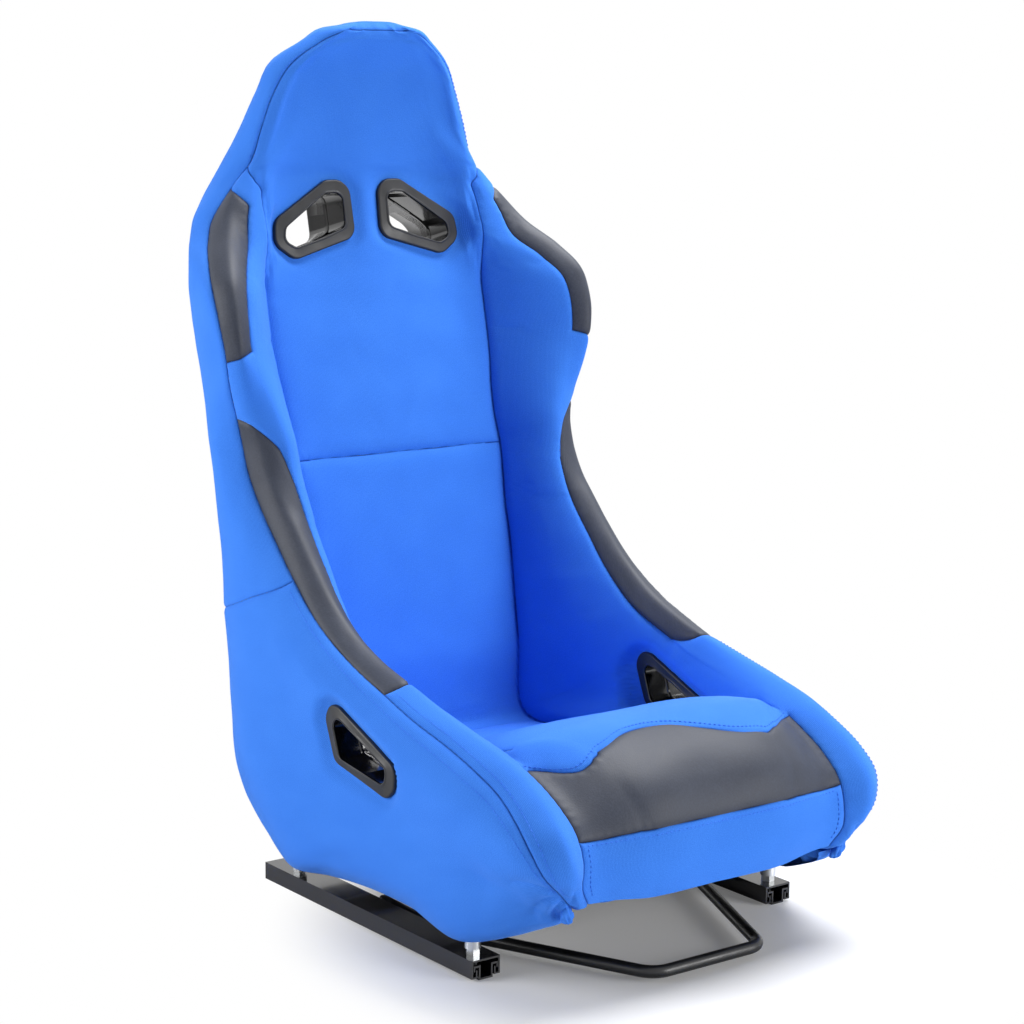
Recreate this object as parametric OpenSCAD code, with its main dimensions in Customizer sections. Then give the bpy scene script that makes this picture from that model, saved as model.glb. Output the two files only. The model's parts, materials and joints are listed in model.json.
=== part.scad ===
// Fixed-back bucket seat on two floor slide rails.
// Millimetres. +X is the sitter's left, the sitter faces -Y, +Z is up.
// The origin is on the floor, midway between the four floor bolt holes.

/* [Seat shell] */
// Highest point of the head section above the floor
seat_top_z = 941; // [925:1:960]
// Half width of the cover seam at the neck
neck_half_w = 151; // [145:1:156]
// Half width of the cover seam across the shoulder wings
shoulder_half_w = 254; // [246:1:262]
// Half width of the cover seam at the waist
waist_half_w = 221; // [217:1:226]
// Half width of the side panels at the hips
hip_half_w = 242; // [238:1:248]
// Half width of the seam round the front roll
nose_half_w = 230; // [226:1:236]
// Half width of the flat back insert at the shoulders
insert_half_w = 149; // [144:1:153]
// Half width of the back at its rear corners
rear_half_w = 214; // [208:1:218]
// Height of the cushion's front crest above the floor
cushion_crest_z = 244; // [238:1:250]

/* [Upholstery] */
// Thickness of the cover fabric with its scrim foam
cover_t = 4; // [3:0.5:5]
// Thickness of the back pad
back_pad_t = 28; // [22:1:32]
// Gap kept between pads and what lies beside them
pad_gap = 0.3; // [0.2:0.1:0.6]
// Underside of the cushion pad above the floor
cushion_base_z = 97; // [95:1:100]

/* [Harness slots] */
// Height of the shoulder slots' datum above the floor
shoulder_slot_z = 725; // [715:1:732]
// Front faces of the shoulder slots behind the origin
shoulder_slot_y = 332; // [330:0.5:334]
// Length of a shoulder slot between its two flanges
shoulder_slot_len = 79; // [76:0.5:80]
// Lean of the shoulder slots from upright, degrees
shoulder_slot_tilt = 11; // [9:0.5:13]
// Height of the hip slots' datum above the floor
hip_slot_z = 200; // [196:1:204]
// Corner radius of a slot's opening
slot_r = 5; // [4:0.5:6]
// Corner radius of a flange
flange_r = 9; // [7:0.5:10]
// Wall of a bezel's tube
bezel_wall = 2.5; // [2:0.25:3]
// Thickness of a bezel's flange
flange_t = 4.5; // [4:0.25:5]
// Back face of the outer hip flanges from the centre plane
hip_outer_x = 236; // [234:0.5:237]
// Back face of the inner hip flanges from the centre plane
hip_inner_x = 184.5; // [184:0.25:186]

/* [Frame] */
// Diameter of the bent frame tube
tube_d = 20; // [18:1:20]
// Wall of the frame tubes
tube_wall = 2; // [1.5:0.25:2.5]
// Width of the flat cross plates behind the back
cross_plate_w = 45; // [35:1:50]
// Width of a webbing strap
strap_w = 40; // [30:1:45]
// Thickness of a webbing strap
strap_t = 1.5; // [1:0.25:2]
// Centre of a base rail from the centre plane
base_rail_x = 198.5; // [197:0.5:199]
// Width of a base rail
base_rail_w = 23; // [21:0.5:23]
// Height of a base rail
base_rail_h = 22; // [20:1:24]
// Base rail past its bolts, at each end
base_rail_over = 11; // [9:1:12]
// Underside of the base rails above the floor
base_rail_z = 50; // [48:1:52]
// Sheet thickness of the base rails and plates
plate_t = 2; // [1.5:0.25:3]
// Thickness of the pressed seat pan
pan_t = 1.5; // [1:0.25:2]

/* [Slide rails] */
// Rails past the seat bolts, at each end
rail_over = 32.5; // [24:0.5:36]
// Middle of the rails behind the origin
rail_mid_y = 13.5; // [4:0.5:16]
// Width of a seat rail
rail_w = 35; // [34:0.5:36]
// Height of a seat rail's top above the floor
rail_h = 21.3; // [21:0.1:22]
// Distance between the two rails' centre lines
rail_spacing = 395; // [393:1:397]
// Sheet thickness of the rails
rail_t = 2; // [1.8:0.1:2.2]
// Width of a floor rail across its lips
floor_rail_w = 29.6; // [28:0.2:30]
// Width of a floor rail's channel, outside
floor_channel_w = 17; // [16:0.2:18]
// Diameter of the bearing balls
ball_d = 3.8; // [3.6:0.05:4]
// Running gap above and below each ball
ball_gap = 0.02; // [0.01:0.01:0.05]
// Length of a ball cage
cage_len = 190; // [170:2:200]
// Thickness of a ball cage
cage_t = 1.2; // [1:0.1:1.5]
// Pitch of the balls in a cage
ball_pitch = 20; // [16:1:24]

/* [Fasteners] */
// Spacing of the seat bolts across the seat
seat_bolt_x = 400; // [398:1:402]
// Spacing of the seat bolts along the rails
seat_bolt_y = 322; // [316:2:324]
// Diameter of the seat bolts
bolt_d = 8; // [7:0.5:8]
// Width across flats of the seat nuts
nut_af = 13; // [12:0.5:14]
// Height of the seat nuts
nut_h = 6.6; // [6:0.1:7]
// Diameter of the spacers over the nuts
spacer_d = 17; // [15:0.5:19]
// Diameter of the bolts' low heads
bolt_head_d = 12.4; // [11:0.2:12.4]
// Height of the bolts' low heads
bolt_head_h = 3; // [2.5:0.1:3.1]
// Spacing of the floor bolt holes along the rails
floor_bolt_y = 280; // [270:2:290]
// Diameter of the floor bolt holes
floor_hole_d = 8.5; // [8:0.25:9]

/* [Release bar] */
// Diameter of the release bar
bar_d = 13; // [12:0.5:13]
// Height of the release bar's centre line above the floor
bar_z = 11.5; // [11:0.5:12.5]
// Distance of the bar's front ahead of the origin
bar_front = 290; // [280:2:300]
// Half width of the bar's front, corner to corner
bar_half_w = 71; // [66:1:76]
// Bend radius of the bar
bar_bend = 26; // [22:1:30]
// Height of the lever pivots above the floor
pivot_z = 13; // [12.5:0.5:14]
// Pivots behind the origin
pivot_y = 40; // [36:1:44]
// Diameter of the pivot pins
pin_d = 6; // [5.5:0.5:6.5]
// Running clearance round a pivot pin
pin_gap = 0.05; // [0.03:0.01:0.08]
// Thickness of a latch lever
lever_t = 3; // [2.5:0.5:3.5]
// Pitch of the latch rack's notches
notch_pitch = 12; // [11:0.5:14]
// Wire of the return springs
spring_wire = 1.2; // [1:0.1:1.4]

/* [Hidden] */
$fn = 48;

// ---- Form of the upholstered shell ----
// One line per station, from the head's top, down the back, round the hip and forward to the
// front roll's underside. Each line holds points of the right half, [x, y, z]: the centre of
// the sat-on side, the insert's edge, the inner edge of the crest, the height of the crest's
// crown, the outer seam, the fullest point of the side, the rear (or lower) corner, the edge
// of the rear panel, the rear centre, and the frame tube inside.
NECK_Z = 765;   // height of the neck
HEAD_H = 176;   // drawn height of the head above it, stretched to the height that is set
top = seat_top_z;
neck = neck_half_w;
wing = shoulder_half_w;
waist = waist_half_w;
hip = hip_half_w;
nose = nose_half_w;
ins = insert_half_w;
rear = rear_half_w;
crest = cushion_crest_z;

function head_z(z) = NECK_Z + (z - NECK_Z) * (seat_top_z - NECK_Z) / HEAD_H;

STATIONS = [
  [[0, 313, top], [5, 313, top], [9, 313, top], 0, [13, 314, top],
   [16, 320, top], [13, 327, top], [8, 330, top], [0, 330, top]],
  [[0, 304, top - 10], [14, 303, top - 10], [24, 302, top - 10], 1, [34, 301, top - 10],
   [44, 318, top - 7], [40, 338, top - 9], [26, 346, top - 10], [0, 348, top - 10]],
  [[0, 311, head_z(918)], [38, 310, head_z(918)], [62, 308, head_z(918)], 2, [76, 308, head_z(918)],
   [84, 324, head_z(923)], [80, 344, head_z(920)], [58, 354, head_z(917)], [0, 359, head_z(917)]],
  [[0, 325, head_z(892)], [54, 324, head_z(892)], [92, 321, head_z(892)], 3, [108, 320, head_z(892)],
   [116, 338, head_z(894)], [109, 364, head_z(893)], [82, 381, head_z(892)], [0, 388, head_z(892)]],
  [[0, 333, head_z(860)], [64, 332, head_z(860)], [108, 328, head_z(860)], 3, [126, 327, head_z(860)],
   [130, 348, head_z(860)], [119, 376, head_z(860)], [90, 396, head_z(860)], [0, 403, head_z(860)]],
  [[0, 337, head_z(822)], [72, 336, head_z(822)], [120, 332, head_z(822)], 3, [neck - 11, 330, head_z(822)],
   [neck - 7, 355, head_z(822)], [neck - 19, 388, head_z(822)], [100, 406, head_z(822)],
   [0, 412, head_z(822)]],
  [[0, 338, head_z(789)], [90, 335, head_z(789)], [132, 328, head_z(789)], 3, [neck, 333, head_z(789)],
   [neck + 8, 355, head_z(789)], [neck - 4, 396, head_z(789)], [112, 412, head_z(789)],
   [0, 417, head_z(789)]],
  [[0, 338, 765], [ins - 2, 325, 765], [157, 322, 765], 4, [neck + 16, 341, 765],
   [neck + 21, 360, 765], [neck + 9, 400, 765], [122, 414, 765], [0, 418, 765]],
  [[0, 334, 745], [ins - 3, 314, 745], [wing - 88, 307, 745], 6, [wing - 70, 340, 745],
   [wing - 65, 360, 745], [176, 396, 745], [132, 414, 745], [0, 418, 745]],
  [[0, 331, 725], [ins - 4, 306, 725], [wing - 80, 299, 725], 8, [wing - 53, 335, 725],
   [wing - 47, 352, 725], [188, 390, 725], [140, 412, 725], [0, 414, 725]],
  [[0, 325, 702], [ins - 2, 301, 702], [wing - 74, 290, 702], 9, [wing - 34, 312, 704],
   [wing - 28, 330, 702], [200, 374, 702], [148, 405, 702], [0, 408, 702]],
  [[0, 319, 675], [ins - 1, 304, 675], [wing - 53, 258, 675], 9, [wing - 12, 274, 678],
   [wing - 10, 300, 675], [208, 362, 675], [155, 398, 675], [0, 402, 675]],
  [[0, 312, 650], [ins, 307, 650], [wing - 38, 233, 650], 9, [wing - 1, 248, 653],
   [wing - 3, 285, 650], [212, 358, 650], [160, 390, 650], [0, 395, 650]],
  [[0, 304, 620], [ins, 301, 620], [wing - 34, 223, 620], 9, [wing, 234, 622],
   [wing - 3, 275, 620], [213, 352, 620], [163, 382, 620], [0, 388, 620]],
  [[0, 295, 590], [ins, 294, 590], [wing - 35, 219, 590], 9, [wing - 4, 230, 592],
   [wing - 5, 272, 590], [213, 344, 590], [164, 374, 590], [0, 380, 590]],
  [[0, 286, 555], [ins - 2, 285, 555], [wing - 43, 215, 555], 8, [wing - 12, 234, 555],
   [wing - 11, 275, 555], [212, 335, 555], [165, 364, 555], [0, 370, 555]],
  [[0, 276, 520], [ins - 6, 276, 520], [waist - 21, 210, 520], 7, [waist + 9, 241, 520],
   [waist + 17, 275, 520], [212, 327, 520], [166, 354, 520], [0, 360, 520]],
  [[0, 268, 490], [ins - 8, 267, 490], [waist - 31, 203, 490], 7, [waist + 2, 241, 490],
   [waist + 15, 272, 488], [rear - 1, 320, 488], [167, 345, 488], [0, 351, 488]],
  [[0, 258, 455], [ins - 7, 257, 455], [waist - 37, 196, 455], 8, [waist, 228, 452],
   [waist + 15, 264, 450], [rear, 309, 448], [168, 333, 448], [0, 340, 448]],
  [[0, 248, 418], [ins - 9, 247, 418], [waist - 41, 178, 418], 9, [waist - 1, 205, 419],
   [waist + 16, 248, 410], [rear + 1, 300, 400], [169, 322, 400], [0, 328, 400]],
  [[0, 241, 394], [ins - 11, 241, 394], [waist - 42, 168, 402], 10, [waist - 1, 173, 385],
   [waist + 17, 228, 370], [rear + 1, 291, 350], [170, 312, 350], [0, 316, 350]],
  [[0, 228, 350], [ins - 13, 228, 350], [waist - 41, 137, 364], 10, [waist, 138, 353],
   [hip - 2, 198, 325], [rear + 1, 286, 296], [171, 300, 296], [0, 303, 296]],
  [[0, 213, 296], [ins - 18, 213, 296], [waist - 40, 103, 326], 10, [waist + 2, 98, 323],
   [hip - 1, 165, 285], [rear + 2, 276, 240], [172, 289, 240], [0, 291, 240]],
  [[0, 197, 236], [ins - 23, 197, 236], [waist - 40, 58, 291], 10, [waist + 3, 50, 297],
   [hip, 130, 245], [rear + 2, 267, 184], [172, 277, 184], [0, 279, 184]],
  [[0, 173, 152], [ins - 31, 173, 152], [waist - 37, 10, 268], 11, [waist + 3, 2, 278],
   [hip, 90, 210], [rear + 3, 254, 130], [172, 264, 130], [0, 266, 130]],
  [[0, 100, 152], [ins + 3, 100, 148], [waist - 38, -40, 252], 12, [waist + 3, -42, 264],
   [hip - 1, 45, 185], [rear + 2, 232, 92], [172, 242, 84], [0, 244, 80]],
  [[0, 0, 182], [ins + 28, 5, 172], [182, -92, 241], 12, [nose - 4, -93, 250],
   [hip - 2, 0, 168], [rear + 3, 180, 60], [172, 182, 58], [0, 150, 74]],
  [[0, -90, 216], [ins + 30, -90, 205], [181, -145, 233], 11, [nose - 4, -148, 237],
   [hip - 3, -50, 155], [rear, 140, 40], [180, 140, 44], [0, 60, 74]],
  [[0, -160, crest - 5], [ins + 29, -160, 226], [178, -195, 226], 10, [nose - 3, -200, 222],
   [hip - 4, -105, 142], [rear + 1, 60, 47], [180, 60, 47], [0, -20, 74]],
  [[0, -205, crest], [140, -205, crest - 6], [175, -237, 211], 10, [nose - 3, -235, 208],
   [hip - 5, -165, 130], [rear + 1, -80, 46], [180, -80, 46], [0, -100, 74]],
  [[0, -250, 232], [120, -250, 225], [174, -268, 194], 10, [nose, -268, 188],
   [hip - 7, -210, 122], [rear - 2, -165, 36], [180, -165, 40], [0, -165, 76]],
  [[0, -295, 200], [110, -290, 195], [173, -293, 172], 10, [nose, -290, 166],
   [hip - 12, -248, 115], [rear - 9, -210, 50], [170, -205, 60], [0, -210, 80]],
  [[0, -310, 160], [100, -308, 158], [172, -303, 145], 9, [nose - 11, -298, 139],
   [nose - 15, -275, 112], [192, -255, 72], [140, -250, 78], [0, -255, 86]],
  [[0, -312, 125], [92, -310, 124], [172, -302, 121], 5, [200, -297, 119],
   [202, -285, 104], [182, -272, 82], [130, -268, 84], [0, -272, 90]],
  [[0, -303, 97], [88, -300, 96], [160, -295, 101], 3, [184, -294, 103],
   [186, -288, 97], [178, -280, 92], [120, -280, 92], [0, -284, 95]]];

// Centre line of the bent frame tube: its top arch, then one point per station from the neck
NECK_ROW = 7;
TUBE_ARCH = [[0, 350, head_z(890)], [45, 352, head_z(883)], [84, 358, head_z(860)],
  [110, 364, head_z(825)], [130, 367, head_z(790)]];
TUBE_SIDE = [[144, 366, 765], [156, 364, 745], [169, 359, 725], [185, 351, 702],
  [194, 343, 675], [198, 336, 650], [199, 327.7, 620], [200, 319.4, 590], [199, 309.6, 555],
  [197, 299.9, 520], [196, 291.6, 490], [197, 281.9, 455], [198, 271.6, 418],
  [hip - 43, 260.5, 378], [hip - 42, 248, 332], [hip - 41, 233, 283], [hip - 40, 208, 228],
  [hip - 39, 168, 178], [hip - 40, 112, 147],
  [201, 40, 134], [200, -30, 132], [200, -95, 132], [200, -155, 132], [198, -205, 130],
  [190, -240, 122], [180, -262, 112]];

// Rows where seams and edges lie
HEAD_FOAM_TOP = 0.6;      // top of the head foam, below the cover's top
BACK_FOAM_ROW = 7.35;     // top of the back foam
SHOULDER_FOAM_ROW = 8.8;  // top of the shoulder foam
WING_ROW = 10;            // where the shoulder foam meets the side foam
SHOULDER_PATCH_ROW = 14;  // lower tip of the shoulder patch
LUMBAR_ROW = 18;          // upper tip of the lumbar patch
INSERT_SEAM_ROW = 18;     // seam across the back insert
SIDE_SEAM_ROW = 21;       // seam across the side panel
TUCK_ROW = 24;            // where back and cushion meet
REAR_END_ROW = 25;        // lower edge of the rear panel
RIDGE_ROW = 29;           // ridge seam behind the front patch
THIGH_FOAM_END = 31;      // front end of the thigh foam
NOSE_ROW = 31.6;          // seam between the front patch and the front band
FOLD_ROW = 33;            // lower end of the side panel at the front

// How far the middle of the inner wall bellies out round the hip slots, against the row
WALL_OUT = [[22, 0], [23, 6], [24, 16], [25, 15], [26, 6], [27, 0]];

// Small sizes of hidden parts
CUT_OVER = 0.02;          // how far a cut runs past an open end, in rows
TUBE_SIDES = 8;           // flats round the frame tube
foam_round_tube = 4;      // foam kept off the frame tube
foam_corner_share = 0.4;  // hollow behind the outer corners, where the foam turns sharply
FOAM_FRONT = [[-304.3, 126], [-294.3, 96]]; // front face of the cushion foam, under the band
FOAM_FRONT_CUT = -330;    // front of the wedge cut off it
room_front = 30;          // depth cleared in front of a bezel's flange
back_lean = 15.55;        // lean of the back, degrees
tube_plane_y = 155.4;     // plane of the side tubes' centre lines, at floor height
tube_side_x = 198;        // side tubes from the centre plane
CROSS_PLATE_Z = [shoulder_slot_z - 85, 470];
STRAP_Z = [585, 530, 415];
BASE_CROSS_Y = [-60, 120];
base_rail_len = seat_bolt_y + 2 * base_rail_over;
rail_len = seat_bolt_y + 2 * rail_over;
GUSSETS = [[[-166, 72.1], [-96, 72.1], [-106, 121.8], [-156, 121.8]],
  [[-30, 72.1], [62, 72.1], [34, 123.4], [-22, 121.8]]];
PAN_HALF_W = 168;
PAN_FOOT_X = 190;
PAN_REAR = 165;
PAN_FRONT = -240;
LIP_Z = 2.5;              // underside of a seat rail's turned-in edge
LIP_T = 1.6;              // its thickness
LIP_X = 10.4;             // its inner face from the rail's centre
LIP_TOP = 11;             // top of the part turned up
HOOK_T = 1.6;             // thickness of a floor rail's turned-down edge
HOOK_Z = 9.5;             // its lower end
CAGE_OUTER = 3.2;         // ball cage outside the balls' centres
CAGE_INNER = 2.7;         // and inside them
CAGE_END = 12;            // both end bars of a ball cage together
CAGE_PLAY = 0.2;          // ball holes over the balls
LEVER_STANDOFF = 12;      // levers in from the seat rails' inner faces
LEVER_BOSS = 15;
LEVER_H = 12;
TOOTH_W = 6;
tooth_y = -12;            // the lever's tooth, from the origin
tooth_rest_z = 2.5;       // underside of the tooth at rest
RACK_EDGE = 5;
RACK_LEN = 130;
RACK_NOTCHES = 4;
LEG_END = -58;            // rear end of the release bar's legs
LEG_BEND = -86;           // where the legs turn in

BLUE = "royalblue";
GREY = "dimgray";
FOAM = "khaki";
PLASTIC = "#1c1c1e";
STEEL = "#3a3d42";
WEB = "#555555";
ZINC = "silver";
RAIL = "#101010";
CHROME = "gainsboro";
POWDER = "#26282b";

// Columns of the surface grid, counted across the right half from the centre
COL_INSERT = 2;    // seam at the insert's edge
COL_WALL = 3;      // middle of the inner wall
COL_CREST_IN = 4;  // inner edge of the crest
COL_SEAM = 6;      // outer seam
COL_SIDE = 7;      // fullest point of the side
COL_CORNER = 8;    // rear corner, then the side's lower edge
COL_BACK = 10;     // rear centre
RING_N = 2 * COL_BACK;
LAST_ROW = len(STATIONS) - 1;

function unit(v) = v / norm(v);
function mix(a, b, f) = a + (b - a) * f;
function flip(p) = [-p.x, p.y, p.z];

// Direction out of the shell at row i, which is level at the neck so that the covers meet there
function outward(i, v) = unit(i == NECK_ROW ? [v.x, v.y, 0] : v);
// Crown of the crest: its middle, pushed out square to the strip
function crown(i) =
  let (s = STATIONS[i], a = STATIONS[max(i - 1, 0)], b = STATIONS[min(i + 1, LAST_ROW)],
       along = (b[2] + b[4]) - (a[2] + a[4]), out = outward(i, cross(along, s[4] - s[2])))
  (s[2] + s[4]) / 2 + out * 1.5 * s[3];
function half_row(i) =
  let (s = STATIONS[i], wall = (s[1] + s[2]) / 2 + [lookup(i, WALL_OUT), 0, 0])
  [s[0], [0.86 * s[1].x, mix(s[0].y, s[1].y, 0.15), mix(s[0].z, s[1].z, 0.5)], s[1],
   wall, s[2], crown(i), s[4], s[5], s[6], s[7], s[8]];
function full_row(i) =
  let (h = half_row(i))
  concat(h, [for (j = [COL_BACK - 1:-1:1]) flip(h[j])]);
GRID = [for (i = [0:LAST_ROW]) full_row(i)];

// Outward normals of the grid
function normal(i, j) =
  let (along = GRID[min(i + 1, LAST_ROW)][j] - GRID[max(i - 1, 0)][j],
       across = GRID[i][(j + 1) % RING_N] - GRID[i][(j + RING_N - 1) % RING_N])
  outward(i, cross(along, across));
NORMALS = [for (i = [0:LAST_ROW]) [for (j = [0:RING_N - 1]) normal(i, j)]];

// A point of the shell at row u (rows may be fractions), column j, sunk by depth d
function sunk(u, j, d) =
  let (i = min(floor(u), LAST_ROW - 1), f = u - i, k = (j + RING_N) % RING_N)
  mix(GRID[i][k] - NORMALS[i][k] * d, GRID[i + 1][k] - NORMALS[i + 1][k] * d, f);
function tube_at(u) =
  let (v = u - NECK_ROW, i = min(floor(v), len(TUBE_SIDE) - 2))
  mix(TUBE_SIDE[i], TUBE_SIDE[i + 1], v - i);
// Every sheet is cut at the same rows, so that sheets lying on each other match
ALL_ROWS = concat([0, HEAD_FOAM_TOP], [for (i = [1:NECK_ROW]) i],
  [BACK_FOAM_ROW, NECK_ROW + 1, SHOULDER_FOAM_ROW], [for (i = [NECK_ROW + 2:THIGH_FOAM_END]) i],
  [NOSE_ROW], [for (i = [THIGH_FOAM_END + 1:LAST_ROW]) i]);
function rows(a, b) = concat([a], [for (i = ALL_ROWS) if (i > a && i < b) i], [b]);

// Closed solid between two sheets of points with the same layout
module two_sheets(outer, inner) {
  n = len(outer);
  m = len(outer[0]);
  function at(i, j) = i * m + j;
  sheet = n * m;
  faces = concat(
    [for (i = [0:n - 2], j = [0:m - 2]) each
      [[at(i, j), at(i, j + 1), at(i + 1, j + 1)], [at(i, j), at(i + 1, j + 1), at(i + 1, j)]]],
    [for (i = [0:n - 2], j = [0:m - 2]) each
      [[sheet + at(i, j), sheet + at(i + 1, j + 1), sheet + at(i, j + 1)],
       [sheet + at(i, j), sheet + at(i + 1, j), sheet + at(i + 1, j + 1)]]],
    [for (i = [0:n - 2]) each
      [[at(i, 0), at(i + 1, 0), sheet + at(i + 1, 0)],
       [at(i, 0), sheet + at(i + 1, 0), sheet + at(i, 0)],
       [at(i, m - 1), sheet + at(i + 1, m - 1), at(i + 1, m - 1)],
       [at(i, m - 1), sheet + at(i, m - 1), sheet + at(i + 1, m - 1)]]],
    [for (j = [0:m - 2]) each
      [[at(0, j), sheet + at(0, j + 1), at(0, j + 1)],
       [at(0, j), sheet + at(0, j), sheet + at(0, j + 1)],
       [at(n - 1, j), at(n - 1, j + 1), sheet + at(n - 1, j + 1)],
       [at(n - 1, j), sheet + at(n - 1, j + 1), sheet + at(n - 1, j)]]]);
  polyhedron(concat([for (r = outer) each r], [for (r = inner) each r]), faces);
}

// A piece of cover: rows u0 to u1, columns j0 to j1
module cover(u0, u1, j0, j1) {
  us = rows(u0, u1);
  two_sheets([for (u = us) [for (j = [j0:j1]) sunk(u, j, 0)]],
             [for (u = us) [for (j = [j0:j1]) sunk(u, j, cover_t)]]);
}

// Foam under the cover, moulded round the frame tube: rows u0 to u1, columns j0 to j1
module wrapped_foam(u0, u1, j0, j1) {
  us = rows(u0, u1);
  function reach(j, far) =
    tube_d / 2 + (j < COL_SIDE ? foam_round_tube : (far - tube_d / 2) * foam_corner_share);
  function axis(u) = unit(tube_at(min(u + 0.5, LAST_ROW - 2)) - tube_at(max(u - 0.5, NECK_ROW)));
  function square_to(v, t) = unit(v - t * (v * t));
  two_sheets([for (u = us) [for (j = [j0:j1]) sunk(u, j, cover_t)]],
             [for (u = us) [for (j = [j0:j1])
               let (spoke = sunk(u, j, cover_t) - tube_at(u))
               tube_at(u) + reach(j, norm(spoke)) * square_to(spoke, axis(u))]]);
}

// Closed loft through whole rings of the grid, sunk by depth d
module ring_loft(us, d) {
  m = RING_N;
  n = len(us);
  points = [for (u = us) each [for (j = [0:m - 1]) sunk(u, j, d)]];
  faces = concat(
    [[for (j = [m - 1:-1:0]) j]],
    [for (i = [0:n - 2], j = [0:m - 1]) each
      [[i * m + j, i * m + (j + 1) % m, (i + 1) * m + (j + 1) % m],
       [i * m + j, (i + 1) * m + (j + 1) % m, (i + 1) * m + j]]],
    [[for (j = [0:m - 1]) (n - 1) * m + j]]);
  polyhedron(points, faces);
}

// Round bar swept along a path
module swept_bar(path, r, sides) {
  n = len(path);
  function dir(i) = unit(path[min(i + 1, n - 1)] - path[max(i - 1, 0)]);
  function ring(i) =
    let (t = dir(i), side = unit(cross(t, [0.1, 1, 0.3])), up = cross(t, side))
    [for (k = [0:sides - 1])
      path[i] + r * (cos(360 * k / sides) * side + sin(360 * k / sides) * up)];
  points = [for (i = [0:n - 1]) each ring(i)];
  faces = concat(
    [[for (k = [0:sides - 1]) k]],
    [for (i = [0:n - 2], k = [0:sides - 1])
      let (a = i * sides + k, b = i * sides + (k + 1) % sides)
      each [[a, a + sides, b + sides], [a, b + sides, b]]],
    [[for (k = [sides - 1:-1:0]) (n - 1) * sides + k]]);
  polyhedron(points, faces);
}

module both_sides() {
  children();
  mirror([1, 0, 0]) children();
}

// ---- Outlines ----
// Convex outline with every edge moved inward by d
function edge_out(a, b) = unit([b.y - a.y, a.x - b.x]);
function meet(p, u, q, v) = p + u * (((q - p).x * v.y - (q - p).y * v.x) / (u.x * v.y - u.y * v.x));
function inset(p, d) =
  let (n = len(p))
  [for (i = [0:n - 1])
    let (a = p[(i + n - 1) % n], b = p[i], c = p[(i + 1) % n])
    meet(a - edge_out(a, b) * d, b - a, b - edge_out(b, c) * d, c - b)];
// Arc of radius r that rounds the corner b between a and c
function corner_arc(a, b, c, r, steps) =
  let (u = unit(a - b), v = unit(c - b), half = acos(u * v) / 2,
       centre = b + unit(u + v) * r / sin(half),
       from = b + u * r / tan(half) - centre, to = b + v * r / tan(half) - centre)
  [for (k = [0:steps]) centre + unit(mix(from, to, k / steps)) * r];
// The same outline with its corners rounded to radius r
function rounded(p, r) =
  let (n = len(p))
  [for (i = [0:n - 1]) each corner_arc(p[(i + n - 1) % n], p[i], p[(i + 1) % n], r, 4)];

// Slot outlines about their datums, counter-clockwise: across and up at the shoulders,
// back and up at the hips
SHOULDER_FLANGE = [[19, 29], [17, -27], [102, -51], [127, -33], [124, -5], [51, 39], [32, 39]];
SHOULDER_OPENING = [[31, 20], [31, -16], [98, -37], [113, -29], [110, -14], [54, 23], [40, 24]];
HIP_FLANGE = [[-80, 0], [-79, -24], [-66, -37], [30, -19], [48, 26], [38, 42], [22, 41]];
HIP_OPENING = [[-65, -4], [-62, -23], [19, -12], [31, 20], [25, 28], [15, 27]];

// One half of a slot's bezel: its flange stands on z = 0, its tube runs down to -depth
module bezel(flange, opening, depth) {
  hole = rounded(opening, slot_r);
  linear_extrude(flange_t) difference() {
    polygon(rounded(flange, flange_r));
    polygon(hole);
  }
  translate([0, 0, -depth]) linear_extrude(depth) difference() {
    polygon(rounded(inset(opening, -bezel_wall), slot_r + bezel_wall));
    polygon(hole);
  }
}
// What a bezel needs cut out of the cover and the foam behind it
module bezel_room(flange, opening, depth) {
  translate([0, 0, -pad_gap]) linear_extrude(room_front)
    polygon(rounded(inset(flange, -pad_gap), flange_r + pad_gap));
  translate([0, 0, -depth]) linear_extrude(depth)
    polygon(rounded(inset(opening, -bezel_wall - pad_gap), slot_r + bezel_wall + pad_gap));
}
module at_shoulder_front() {
  translate([0, shoulder_slot_y, shoulder_slot_z])
    rotate([90 - shoulder_slot_tilt, 0, 0]) children();
}
module at_shoulder_rear() {
  at_shoulder_front() translate([0, 0, -shoulder_slot_len]) mirror([0, 0, 1]) children();
}
module at_hip_outer() {
  translate([hip_outer_x, 0, hip_slot_z]) rotate([90, 0, 90]) children();
}
module at_hip_inner() {
  translate([hip_inner_x, 0, hip_slot_z]) rotate([90, 0, 90]) mirror([0, 0, 1]) children();
}
shoulder_half_len = shoulder_slot_len / 2;
hip_half_len = (hip_outer_x - hip_inner_x) / 2;
module shoulder_room() {
  both_sides() {
    at_shoulder_front() bezel_room(SHOULDER_FLANGE, SHOULDER_OPENING, shoulder_half_len + pad_gap);
    at_shoulder_rear() bezel_room(SHOULDER_FLANGE, SHOULDER_OPENING, shoulder_half_len + pad_gap);
  }
}
module hip_room() {
  at_hip_outer() bezel_room(HIP_FLANGE, HIP_OPENING, hip_half_len + pad_gap);
  at_hip_inner() bezel_room(HIP_FLANGE, HIP_OPENING, hip_half_len + pad_gap);
}

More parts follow.
